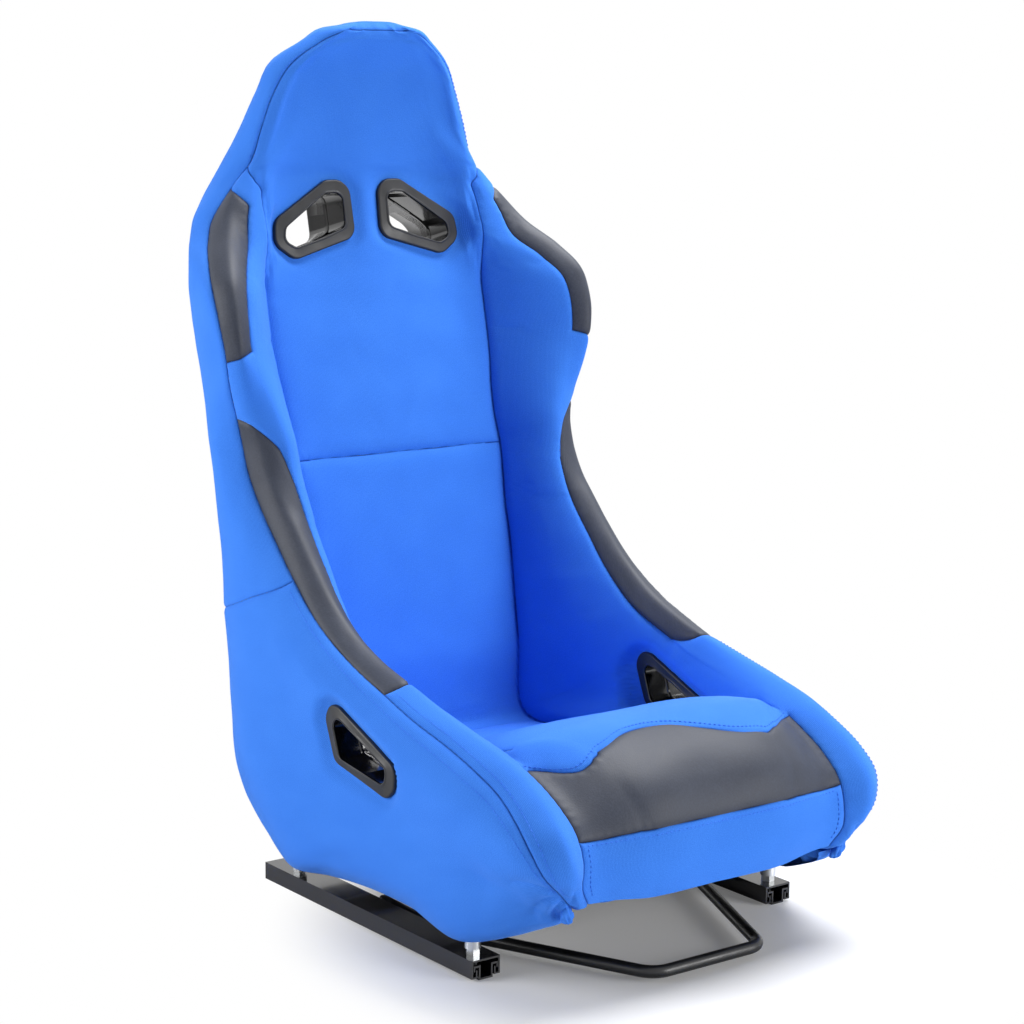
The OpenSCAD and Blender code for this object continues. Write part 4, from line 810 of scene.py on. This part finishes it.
def hard(name, dark, pale, roughness, grain, relief, metallic=0.0, coat=0.0, level=0.5):
    """A moulded, painted or plated surface: two close tones, uneven gloss, fine relief, and a painted
    highlight that makes its sharp edges a little paler. grain is the relief's size in millimetres."""
    m = Nodes(bpy.data.materials.new(name), "Material")
    place = m.add("TexCoord", {}, "Object")
    fine = m.add("TexNoise", {"Vector": place, "Scale": 1 / (grain * MM), "Detail": 4.0}, "Fac")
    broad = m.add("TexNoise", {"Vector": place, "Scale": 1 / (30 * MM), "Detail": 3.0}, "Fac")
    # Painted highlight: pointiness finds the sharp convex edges, and the colour is painted paler there
    corner = m.add("NewGeometry", {}, "Pointiness")
    edge = m.add("MapRange", {"Value": corner, "From Min": 0.52, "From Max": 0.6})
    edge_highlight = m.add("Math", {0: edge, 1: 0.5}, operation="MULTIPLY")
    tone = m.add("Math", {0: broad, 1: 0.7, 2: edge_highlight}, operation="MULTIPLY_ADD")
    return m.finish(m.add("BsdfPrincipled", {
        "Base Color": m.add("ValToRGB", {"Fac": tone}, stops=[(0.25, dark), (0.9, pale)]),
        "Roughness": m.add("MapRange", {"Value": broad, "From Min": 0.3, "From Max": 0.7,
                                        "To Min": roughness * 0.8, "To Max": roughness * 1.25}),
        "Normal": m.add("Bump", {"Strength": relief, "Distance": 0.3 * MM, "Height": fine}),
        "Metallic": metallic,
        "Coat Weight": coat,
        "Coat Roughness": 0.08,
        "Specular IOR Level": level,
    }))


BLUE = blue_cloth()
GREY = grey_leatherette()
# Nylon moulding with a fine spark finish: satin grey-black that takes broad soft highlights
PLASTIC = hard("black plastic", "#191a1d", "#26272b", 0.42, 0.8, 0.12, level=0.4)
# The slot's tube is polished in its mould: deep black with clear reflections
GLOSS = hard("polished black plastic", "#0c0c0f", "#17171b", 0.14, 3.0, 0.03, coat=0.3)
# Stove enamel on pressed steel: near black, wet-looking, with a painted highlight that makes only its sharp
# edges paler
ENAMEL = hard("black enamel", "#07070a", "#17171c", 0.13, 2.5, 0.05, coat=0.4, level=0.4)
# Powder coat on the bar and frame: fine orange peel, satin
POWDER = hard("black powder coat", "#0f1013", "#1d1e22", 0.36, 1.4, 0.2)
# Bright zinc plate on nuts, bolts, spacers and springs: pale silver, slightly cloudy
ZINC = hard("zinc plate", "#a9adb0", "#cfd2d4", 0.27, 1.5, 0.05, metallic=1.0)
# Moulded polyurethane foam: pale, dead matt, open cells
FOAM = hard("seat foam", "#c9bf9c", "#ddd4b4", 0.95, 1.2, 0.7, level=0.1)
# Woven elastic webbing: dull black with a coarse weave
WEB = hard("webbing", "#151517", "#26262a", 0.85, 1.0, 0.5, level=0.2)
# Hardened and polished bearing steel: mirror bright
CHROME = hard("bearing steel", "#c9ccce", "#dfe1e3", 0.08, 2.0, 0.02, metallic=1.0)
# Spun polyester sewing thread, a shade paler than the cloth it lies on
THREAD = hard("blue thread", "#2d6fe2", "#5c97f7", 0.7, 0.4, 0.4, level=0.3)

FINISH = {
    "blue_fabric": BLUE, "grey_leatherette": GREY, "seat_foam": FOAM, "black_plastic": PLASTIC,
    "webbing": WEB, "frame_paint": POWDER, "rail_paint": ENAMEL, "bar_powder_coat": POWDER,
    "zinc_plate": ZINC, "ball_steel": CHROME,
}
for part in frame["record"]["subparts"]:
    node = NODES[part["node"]]
    node.data.materials.clear()
    node.data.materials.append(FINISH[part["material_slot"]])


# ---------------------------------------------------------------- upholstery
TUCKED_IN = 0.3  # stations by which the back and the cushion run on under each other


def between(start, end, columns):
    """A sheet's map from (s, t) to (station, column), from one sewing line to another."""
    def place(s, t):
        v = columns[0] + (columns[1] - columns[0]) * t
        a, b = station(start, v), station(end, v)
        return a + (b - a) * s, v
    return place


def piece(name, material, nodes, *sheets, flip=False):
    """One sewn piece from its sheets, each given by its map, rows and columns."""
    c = Cloth()
    for place, rows, cols in sheets:
        c.sheet(place, rows, cols, flip)
    c.build(name, material, nodes)


def head_and_upper_back():
    """The head's front and the upper insert, cut from one cloth."""
    def upper_insert(s, t):
        u = FORK + (WAIST - FORK) * s
        return u, (2 * t - 1) * insert_edge(u)

    piece("head_and_upper_back_cloth", BLUE, ["head_cover", "insert_upper"],
          (between(HEAD_SEAM, FORK, (-SEAM, SEAM)), 84, 96), (upper_insert, 150, 96))


def lower_back():
    """The insert below the cross seam, down to the tuck behind the cushion."""
    piece("lower_back_cloth", BLUE, ["insert_lower"],
          (between(WAIST, TUCK + TUCKED_IN, (-INSERT, INSERT)), 90, 84))


def head_band():
    """The band round the head's top edge, closed above by shrinking rings with a slight dome."""
    c = Cloth()
    c.sheet(between(0, HEAD_SEAM, (-SEAM, SEAM)), 18, 96)
    ring = np.arange(-BACK, BACK, 0.25)
    edge = on_form(np.zeros(len(ring)), ring)
    middle = edge.mean(0)
    shares = (1.0, 0.75, 0.5, 0.25, 0.02)
    points = np.concatenate([middle + (edge - middle) * k + [0, 0, 1.2 * (1 - k ** 2)] for k in shares])
    base = c.lay(points, (points - middle)[:, :2] * MM)
    c.faces += [q[::-1] for q in grid_faces(len(shares) - 1, len(ring), base, ring=True)]
    c.build("head_band_cloth", BLUE, ["head_cover"])


def inner_wall(side, word):
    """The wing's inner wall, and the strip of it that shows between the two patches."""
    def beside_shoulder(s, t):
        u = FORK + (SHOULDER_LOW - FORK) * s
        return u, side * (insert_edge(u) * (1 - t) + patch_inner(u) * t)

    wall, crest = (side * INSERT, side * CREST_IN), (side * CREST_IN, side * SEAM)
    piece(f"inner_wall_cloth_{word}", BLUE, [f"inner_wall_{word}"],
          (beside_shoulder, 110, 36),
          (between(SHOULDER_LOW, LUMBAR_HIGH, wall), 60, 36),
          (between(LUMBAR_HIGH, TUCK, wall), 96, 36),
          (between(SHOULDER_END, LUMBAR_START, crest), 60, 26), flip=side < 0)


def shoulder_patch(side, word):
    """Leatherette over the shoulder's crest, which starts in a tip on the outer seam."""
    def tipped(s, t):
        u = TIP + (SHOULDER_LOW - TIP) * s
        v = patch_inner(u) * (1 - t) + SEAM * t
        return u + (along(SHOULDER_END, v) - SHOULDER_LOW) * s ** 3, side * v

    piece(f"shoulder_patch_leatherette_{word}", GREY, [f"shoulder_patch_{word}"],
          (tipped, 100, 28), flip=side < 0)


def lumbar_patch(side, word):
    """Leatherette over the crest beside the sitter's waist."""
    piece(f"lumbar_patch_leatherette_{word}", GREY, [f"lumbar_patch_{word}"],
          (between(LUMBAR_START, LUMBAR_END, (side * CREST_IN, side * SEAM)), 120, 28), flip=side < 0)


def side_cloths(side, word):
    """The outer side in two pieces, above and below its cross seam."""
    piece(f"outer_side_cloth_{word}", BLUE, [f"side_panel_upper_{word}"],
          (between(0, SIDE_SEAM, (side * SEAM, side * CORNER)), 230, 44), flip=side < 0)
    piece(f"lower_side_cloth_{word}", BLUE, [f"side_panel_lower_{word}"],
          (between(SIDE_SEAM, LAST, (side * SEAM, side * LOWER_EDGE)), 150, 64), flip=side < 0)


def thigh_bolster(side, word):
    """The cloth over the bolster, from the back to the front roll."""
    wall, crest = (side * INSERT, side * CREST_IN), (side * CREST_IN, side * SEAM)
    piece(f"thigh_bolster_cloth_{word}", BLUE, [f"thigh_bolster_{word}"],
          (between(TUCK, LUMBAR_LOW, wall), 10, 36),
          (between(LUMBAR_LOW, PATCH_CORNER, wall), 60, 36),
          (between(LUMBAR_END, PATCH_CORNER, crest), 60, 28),
          (between(PATCH_CORNER, LAST, crest), 84, 28), flip=side < 0)


def rear():
    """One plain cloth across the back."""
    def across(s, t):
        w = CORNER + (BACK - CORNER) * 2 * t
        return REAR_END * s, np.where(w > BACK, w - 2 * BACK, w)

    piece("rear_cloth", BLUE, ["rear_panel"], (across, 220, 90))


def cushion():
    """The cushion top, the waved front patch and the front band."""
    crest = (-CREST_IN, CREST_IN)
    piece("cushion_cloth", BLUE, ["cushion_cover"],
          (between(TUCK - TUCKED_IN, PATCH_CORNER, (-INSERT, INSERT)), 80, 84),
          (between(PATCH_CORNER, PATCH_TOP, crest), 26, 110))
    piece("front_patch_leatherette", GREY, ["cushion_patch"],
          (between(PATCH_TOP, PATCH_FRONT, crest), 50, 110))
    piece("front_band_cloth", BLUE, ["front_band"],
          (between(PATCH_FRONT, LAST, crest), 40, 110))


def gathers(side, word):
    """Spare cloth drawn together under a lower front corner: loose folds that run inward, from
    the cover's lower edge to the knot in the cord under the seat."""
    folds = 26
    knot = np.array([side * 158.0, -236.0, 100.0])
    front = [(LAST - 0.1, v) for v in np.linspace(2.6, 8.0, 46)]
    flank = [(u, 8.1) for u in np.linspace(LAST - 0.15, 31.2, 45)]
    u, v = (np.array(front + flank) * [1, side]).T
    rim, out, _ = pulled(u, v, 0.6)
    rim = wrinkle(rim, out, u, v)
    points, uv = [], []
    for s in np.arange(folds + 1) / folds:
        hang = math.sin(math.pi * min(s * 1.15, 1.0)) ** 0.7
        for p, run in zip(rim, run_along(rim)):
            fold = math.sin(run / 3.4 + 1.3 * math.sin(run / 17.0) + 0.8 * s)
            rough = smooth_noise(Vector((run / 14.0, s * 2.0, side)))
            sag = [0, 0, -7.5 * hang * (0.75 + 0.5 * rough) + 2.3 * fold * hang]
            points.append(p + (knot - p) * (0.86 * s) + sag)
            uv.append((run * MM, s * 0.08))
    c = Cloth()
    c.lay(points, uv)
    c.faces += [q[::side] for q in grid_faces(folds, len(rim) - 1)]
    tuft(c, side)
    c.build(f"gathered_cloth_{word}", BLUE, [])


def tuft(c, side):
    """The puckered end of the cover, where the cord under the seat draws the corner together."""
    middle, radius, height = np.array([side * 181.0, -285.0, 93.0]), (6.0, 6.5), 10.0
    turns, rings = 40, 12
    points, uv = [], []
    for a in (math.pi * (0.04 + 0.92 * k / rings) for k in range(rings + 1)):
        lean = np.array([side * 3.5, -3.0, 1.0]) * math.cos(a)
        for b in (2 * math.pi * t / turns for t in range(turns)):
            r = math.sin(a) ** 0.7 * (1 + 0.22 * math.sin(3 * b + 2 * a) + 0.12 * math.sin(7 * b - 4 * a))
            round_it = [radius[0] * r * math.cos(b), radius[1] * r * math.sin(b), height * math.cos(a)]
            points.append(middle + lean + round_it)
            uv.append((9 * b * MM, 11 * a * MM))
    base = c.lay(points, uv)
    c.faces += [(p, s, r, q) for p, q, r, s in grid_faces(rings, turns, base, ring=True)]
    c.faces.append(tuple(base + t for t in range(turns)))
    c.faces.append(tuple(base + rings * turns + t for t in range(turns))[::-1])


head_and_upper_back()
lower_back()
head_band()
for side, word in SIDES:
    inner_wall(side, word)
    shoulder_patch(side, word)
    lumbar_patch(side, word)
    side_cloths(side, word)
    thigh_bolster(side, word)
    gathers(side, word)
rear()
cushion()


# ---------------------------------------------------------------- foam
def foam_piece(name, node, points, faces):
    """A piece of foam that stands for a node."""
    obj = new_mesh(name, points, faces, FOAM)
    clean(obj, outward=True)
    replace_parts(obj, node)


def foam_pad(node, stations, columns, thick, rows, cols, depth=9.0):
    """Moulded foam that lies depth under the cover and is open round the harness slots."""
    u, v = np.meshgrid(np.linspace(*stations, rows + 1), np.linspace(*columns, cols + 1), indexing="ij")
    u, v = u.ravel(), v.ravel()
    p, out = on_form(u, v), square_to_form(u, v)
    skin, back = p - out * depth, p - out * (depth + thick)
    gone = in_slots(skin) | in_slots(back) | in_slots((skin + back) / 2)
    quads = [q for q in grid_faces(rows, cols) if not gone[list(q)].any()]
    inward = {(q[k], q[k - 1]) for q in quads for k in range(4)}
    faces, n = [], len(p)
    for a, b, c, d in quads:
        faces += [(a, d, c, b), (n + a, n + b, n + c, n + d)]
        # The foam's edge, where no quad lies beyond
        rim = [(e, g) for e, g in ((a, b), (b, c), (c, d), (d, a)) if (e, g) not in inward]
        faces += [(e, g, n + g, n + e) for e, g in rim]
    foam_piece(node.replace("foam", "foam_pad"), node, np.concatenate([skin, back]), faces)


def head_foam():
    """Closed core of the head: the head's own rings, drawn in by the cover's and padding's depth."""
    deep, rings = 11, 16
    v = np.arange(-BACK, BACK, 0.4)
    points = []
    for u in np.linspace(1.5, 6.9, rings):
        ring = on_form(np.full(len(v), u), v)
        middle, half = (ring.max(0) + ring.min(0)) / 2, (ring.max(0) - ring.min(0)) / 2
        share = np.maximum(1 - deep / np.maximum(half, deep + 1), 0.3) * [1, 1, 0] + [0, 0, 1]
        points.extend(middle + (ring - middle) * share)
    faces = list(grid_faces(rings - 1, len(v), ring=True))
    faces += [range(len(v)), range(len(points) - len(v), len(points))]
    foam_piece("head_foam_core", "head_foam", points, faces)


head_foam()
foam_pad("back_foam", (7.4, 23.6), (-1.9, 1.9), 20, 80, 60)
foam_pad("cushion_foam", (25.0, 31.6), (-1.85, 1.85), 30, 40, 40, 10)
for side, word in SIDES:
    foam_pad(f"shoulder_foam_{word}", (8.8, 9.9), (side * 3.2, side * 7.6), 8, 6, 24)
    foam_pad(f"side_foam_{word}", (10.2, 23.2), (side * 2.3, side * 7.6), 12, 60, 40)
    foam_pad(f"thigh_foam_{word}", (24.8, 30.8), (side * 4.1, side * 6.9), 12, 50, 30)


# ---------------------------------------------------------------- harness bezels
def even_ring(outline, centre, n=180):
    """The outline at n even angles about centre."""
    p = outline - centre
    q = np.roll(p, -1, axis=0) - p
    ring = []
    for a in np.linspace(0, 2 * math.pi, n, endpoint=False):
        d = np.array([math.cos(a), math.sin(a)])
        det = q[:, 0] * d[1] - q[:, 1] * d[0]
        det = np.where(np.abs(det) < 1e-9, 1e-9, det)
        r = (q[:, 0] * p[:, 1] - q[:, 1] * p[:, 0]) / det
        s = (d[0] * p[:, 1] - d[1] * p[:, 0]) / det
        ring.append(centre + d * r[(s >= -1e-6) & (s <= 1 + 1e-6) & (r > 0)].max())
    return np.array(ring)


def bezel(name, slot):
    """Half of a slot's moulding: a flat flange with a rolled edge and a bright raised rim, and
    its half of the tube, which steps in where the two halves meet."""
    outer, inner = even_ring(slot.flange, slot.centre), even_ring(slot.opening, slot.centre)
    spoke, n = unit(inner - slot.centre), len(inner)
    mouth, meet, end = slot.flare, 0.25 if "shoulder" in name else 0.0, -slot.depth
    # Share of the way from the opening to the flange's edge, step out from there, height
    flange = [(1, 0, -0.8), (1, 0, 2.4), (1, -0.5, 3.4), (1, -1.4, 4.1), (1, -2.6, 4.4)]
    rim = [(mouth, 3.6, 4.4), (mouth, 3.1, 4.6), (mouth, 2.6, 5.2), (mouth, 1.9, 5.5), (mouth, 1.1, 5.4),
           (mouth, 0.4, 4.9)]
    tube = [(mouth, 0.4, 4.9), (mouth, 0, 4.0), (mouth, 0, 2.0), (meet, 0, end + 3.2),
            (meet, -0.9, end + 2.6), (meet, -1.0, end + 0.1), (meet, 2.4, end + 0.1), (mouth, 2.4, -0.8)]
    points, faces, kinds = [], [], []
    for kind, profile in enumerate((flange + rim, tube)):
        quads = list(grid_faces(len(profile) - 1, n, len(points), ring=True))
        faces += quads
        kinds += [kind] * len(quads)
        for share, step, height in profile:
            ring = inner + (outer - inner) * share + spoke * step
            points.extend(slot.place(a, b, height) for a, b in ring)
    last = len(points) - n
    faces += [(last + j, last + (j + 1) % n, (j + 1) % n, j) for j in range(n)]
    obj = new_mesh(name, points, faces, PLASTIC)
    obj.data.materials.append(GLOSS)
    obj.data.polygons.foreach_set("material_index", kinds + [0] * n)
    clean(obj, merge=WELD / 2, outward=True)
    obj.modifiers.new("Crisp corners", "EDGE_SPLIT").split_angle = math.radians(50)
    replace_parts(obj, name.rsplit("_", 1)[0] + "s")


for name, slot in SLOTS.items():
    bezel(name, slot)


# ---------------------------------------------------------------- stitching
STITCH, STITCH_GAP, THREAD_RADIUS = 3.6, 1.6, 0.45
THREAD_SIDES = 6
# How thick a stitch is along its length, and how far it stands off the cover
STITCH_SHAPE = ((0.25, -0.25), (0.95, 0.3), (1.0, 0.45), (0.95, 0.3), (0.25, -0.25))


def stitch(path, out):
    """Points round one short thread along five points of the cover."""
    way = unit(path[-1] - path[0])
    points = []
    for p, up, (share, lift) in zip(path, out, STITCH_SHAPE):
        across = np.cross(way, up)
        for a in (2 * math.pi * turn / THREAD_SIDES for turn in range(THREAD_SIDES)):
            points.append(p + up * lift + share * THREAD_RADIUS * (math.cos(a) * across + math.sin(a) * up))
    return points


def top_stitching():
    """Top stitching: short rounded threads laid on the cover beside the seams."""
    down = [(SEAM - 0.32, 25.2, 33.2), (SEAM + 0.13, 2.4, 6.1), (SEAM + 0.13, 21.2, 33.0),
            (CREST_IN - 0.22, 31.5, 33.6)]
    rows = [(lambda u, v=side * v: (u, v), a, b) for side, _ in SIDES for v, a, b in down]
    rows += [(lambda v: (along(PATCH_FRONT, v) + 0.13, v), -3.8, 3.8),
             (lambda v: (along(PATCH_TOP, v) - 0.13, v), -3.85, 3.85)]
    points, faces = [], []
    for f, a, b in rows:
        u, v = np.array([f(t) for t in np.linspace(a, b, 900)], float).T
        p, out, _ = pulled(u, v)
        run = run_along(p)
        for s in np.arange(1.0, run[-1] - STITCH, STITCH + STITCH_GAP):
            at = np.linspace(s, s + STITCH, len(STITCH_SHAPE))
            path, up = (np.stack([np.interp(at, run, x) for x in q.T], -1) for q in (p, out))
            faces += grid_faces(len(STITCH_SHAPE) - 1, THREAD_SIDES, len(points), ring=True)
            points += stitch(path, unit(up))
    new_mesh("top_stitching", points, faces, THREAD)


top_stitching()


# ---------------------------------------------------------------- rails, bar and fasteners
def release_bar():
    """Bent tube with closed, rounded ends, between the latch levers."""
    leg_x, height, radius, bend, sides = 161.4, 11.5, 6.5, 26, 32
    corners = [(leg_x, -58), (leg_x, -86), (71, -290), (-71, -290), (-leg_x, -86), (-leg_x, -58)]
    path = [corners[0]]
    for trio in zip(corners, corners[1:], corners[2:]):
        path += [tuple(p) for p in corner_arc(*trio, bend, 12)]
    path = np.array([(x, y, height) for x, y in path + [corners[-1]]], float)
    way = unit(np.gradient(path, axis=0))
    # Share of the radius, and distance from the tube's end
    rounding = [(0.3, 0.0), (0.75, 0.15), (0.95, 0.6), (1.0, 1.4)]
    rings = [(path[0] + way[0] * d, way[0], r) for r, d in rounding]
    rings += [(p, t, 1.0) for p, t in zip(path[1:-1], way[1:-1])]
    rings += [(path[-1] - way[-1] * d, way[-1], r) for r, d in rounding[::-1]]
    points = []
    for p, t, r in rings:
        across = unit(np.cross(t, [0, 0, 1.0]))
        up = np.cross(across, t)
        points += [p + radius * r * (math.cos(a) * across + math.sin(a) * up)
                   for a in np.linspace(0, 2 * math.pi, sides, endpoint=False)]
    faces = list(grid_faces(len(rings) - 1, sides, ring=True))
    faces += [range(sides)[::-1], range(len(points) - sides, len(points))]
    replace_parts(new_mesh("release_bar_tube", points, faces, POWDER, "release"), "release_bar")


release_bar()
for name in ("seat_rail_left", "seat_rail_right", "floor_rail_left", "floor_rail_right", "seat_nuts",
             "seat_spacers", "seat_bolts", "latch_levers", "latch_racks", "base_rail_left",
             "base_rail_right", "seat_pan"):
    worn = NODES[name].modifiers.new("Worn edge", "BEVEL")
    worn.width = 0.6 * MM
    worn.segments = 2
    worn.limit_method = "ANGLE"
    worn.angle_limit = math.radians(35)


# ---------------------------------------------------------------- stage, light and camera
WHITE, BOARD = (1, 1, 1, 1), (0.8, 0.8, 0.8, 1)  # linear
FLOOR_LIFT, WORLD_FILL = 0.12, 0.08
SHADOW_SHIFT, SHADOW_REACH = (-0.05, 0.15, 0.0), (0.26, 0.42)  # metres


def white_floor():
    """Painted board: the colour is pale grey, what the camera sees of it is lifted to white, and
    beyond the seat's soft shadow it is plain white."""
    m = Nodes(bpy.data.materials.new("white floor"), "Material")
    board = m.add("BsdfPrincipled", {"Base Color": BOARD, "Roughness": 0.42,
                                     "Specular IOR Level": 0.35})
    glow = m.add("Emission", {"Color": WHITE, "Strength": FLOOR_LIFT})
    lit = m.add("AddShader", {0: board, 1: glow})
    white = m.add("Emission", {"Color": WHITE, "Strength": 1.0})
    shifted = m.add("VectorMath", {0: m.add("TexCoord", {}, "Object"), 1: SHADOW_SHIFT}, operation="ADD")
    reach = m.add("VectorMath", {0: shifted}, "Value", operation="LENGTH")
    far = m.add("MapRange", {"Value": reach, "From Min": SHADOW_REACH[0], "From Max": SHADOW_REACH[1]},
                interpolation_type="SMOOTHSTEP")
    shown = m.add("MixShader", {0: far, 1: lit, 2: white})
    seen = m.add("LightPath", {}, "Is Camera Ray")
    return m.finish(m.add("MixShader", {0: seen, 1: board, 2: shown}))


def stage():
    """White floor that runs out into a white surround and keeps the seat's soft shadow."""
    r, low = 14000, -0.3
    square = [(-r, -r, low), (r, -r, low), (r, r, low), (-r, r, low)]
    new_mesh("floor", square, [(0, 1, 2, 3)], white_floor(), body=None)
    w = Nodes(bpy.data.worlds.new("white studio"), "World")
    bpy.context.scene.world = w.owner
    seen, mirrored = (w.add("LightPath", {}, f"Is {kind} Ray") for kind in ("Camera", "Glossy"))
    either = w.add("Math", {0: seen, 1: mirrored}, operation="MAXIMUM")
    fill, white = (w.add("Background", {"Color": WHITE, "Strength": level}) for level in (WORLD_FILL, 1.0))
    w.finish(w.add("MixShader", {0: either, 1: fill, 2: white}))


def softbox(name, at, look, size, power):
    """A rectangular lamp at a place in metres, turned to look at a point."""
    light = bpy.data.lights.new(name, "AREA")
    light.shape = "RECTANGLE"
    light.size, light.size_y = size
    light.energy = power
    obj = bpy.data.objects.new(name, light)
    obj.location = at
    obj.rotation_euler = (Vector(look) - Vector(at)).to_track_quat("-Z", "Y").to_euler()
    bpy.context.scene.collection.objects.link(obj)


CAMERA_AT = np.array([-1622.25, -2086.05, 893.91])
CAMERA_AZIMUTH, CAMERA_ELEVATION, CAMERA_ROLL = (math.radians(a) for a in (-37.27568, 10.06703, 0.66697))
FRAME_WIDTH, FOCAL_LENGTH = 1024, 2513.9  # pixels
SENSOR_WIDTH = 36


def camera():
    """Stands 2.6 m in front of the seat to the sitter's right, a little above it, slightly tilted."""
    level = math.cos(CAMERA_ELEVATION)
    back = np.array([math.sin(CAMERA_AZIMUTH) * level, -math.cos(CAMERA_AZIMUTH) * level,
                     math.sin(CAMERA_ELEVATION)])
    right = unit(np.cross([0, 0, 1.0], back))
    up = np.cross(back, right)
    x = math.cos(CAMERA_ROLL) * right + math.sin(CAMERA_ROLL) * up
    y = -math.sin(CAMERA_ROLL) * right + math.cos(CAMERA_ROLL) * up
    lens = bpy.data.cameras.new("camera")
    lens.sensor_width = SENSOR_WIDTH
    lens.lens = FOCAL_LENGTH * SENSOR_WIDTH / FRAME_WIDTH
    lens.clip_end = 100
    obj = bpy.data.objects.new("camera", lens)
    bpy.context.scene.collection.objects.link(obj)
    obj.matrix_world = Matrix([*np.stack([x, y, back, CAMERA_AT * MM], -1), (0, 0, 0, 1)])
    bpy.context.scene.camera = obj


stage()
softbox("side_softbox", (-2.5, 1.0, 1.3), (0, 0, 0.4), (1.6, 1.6), 68)
softbox("key_softbox", (1.3, -2.6, 0.8), (0, 0, 0.45), (1.4, 1.0), 52)
softbox("top_softbox", (1.1, 0.15, 2.6), (0, -0.1, 0.3), (1.5, 1.5), 106)
camera()
bpy.context.scene.view_settings.view_transform = "Standard"
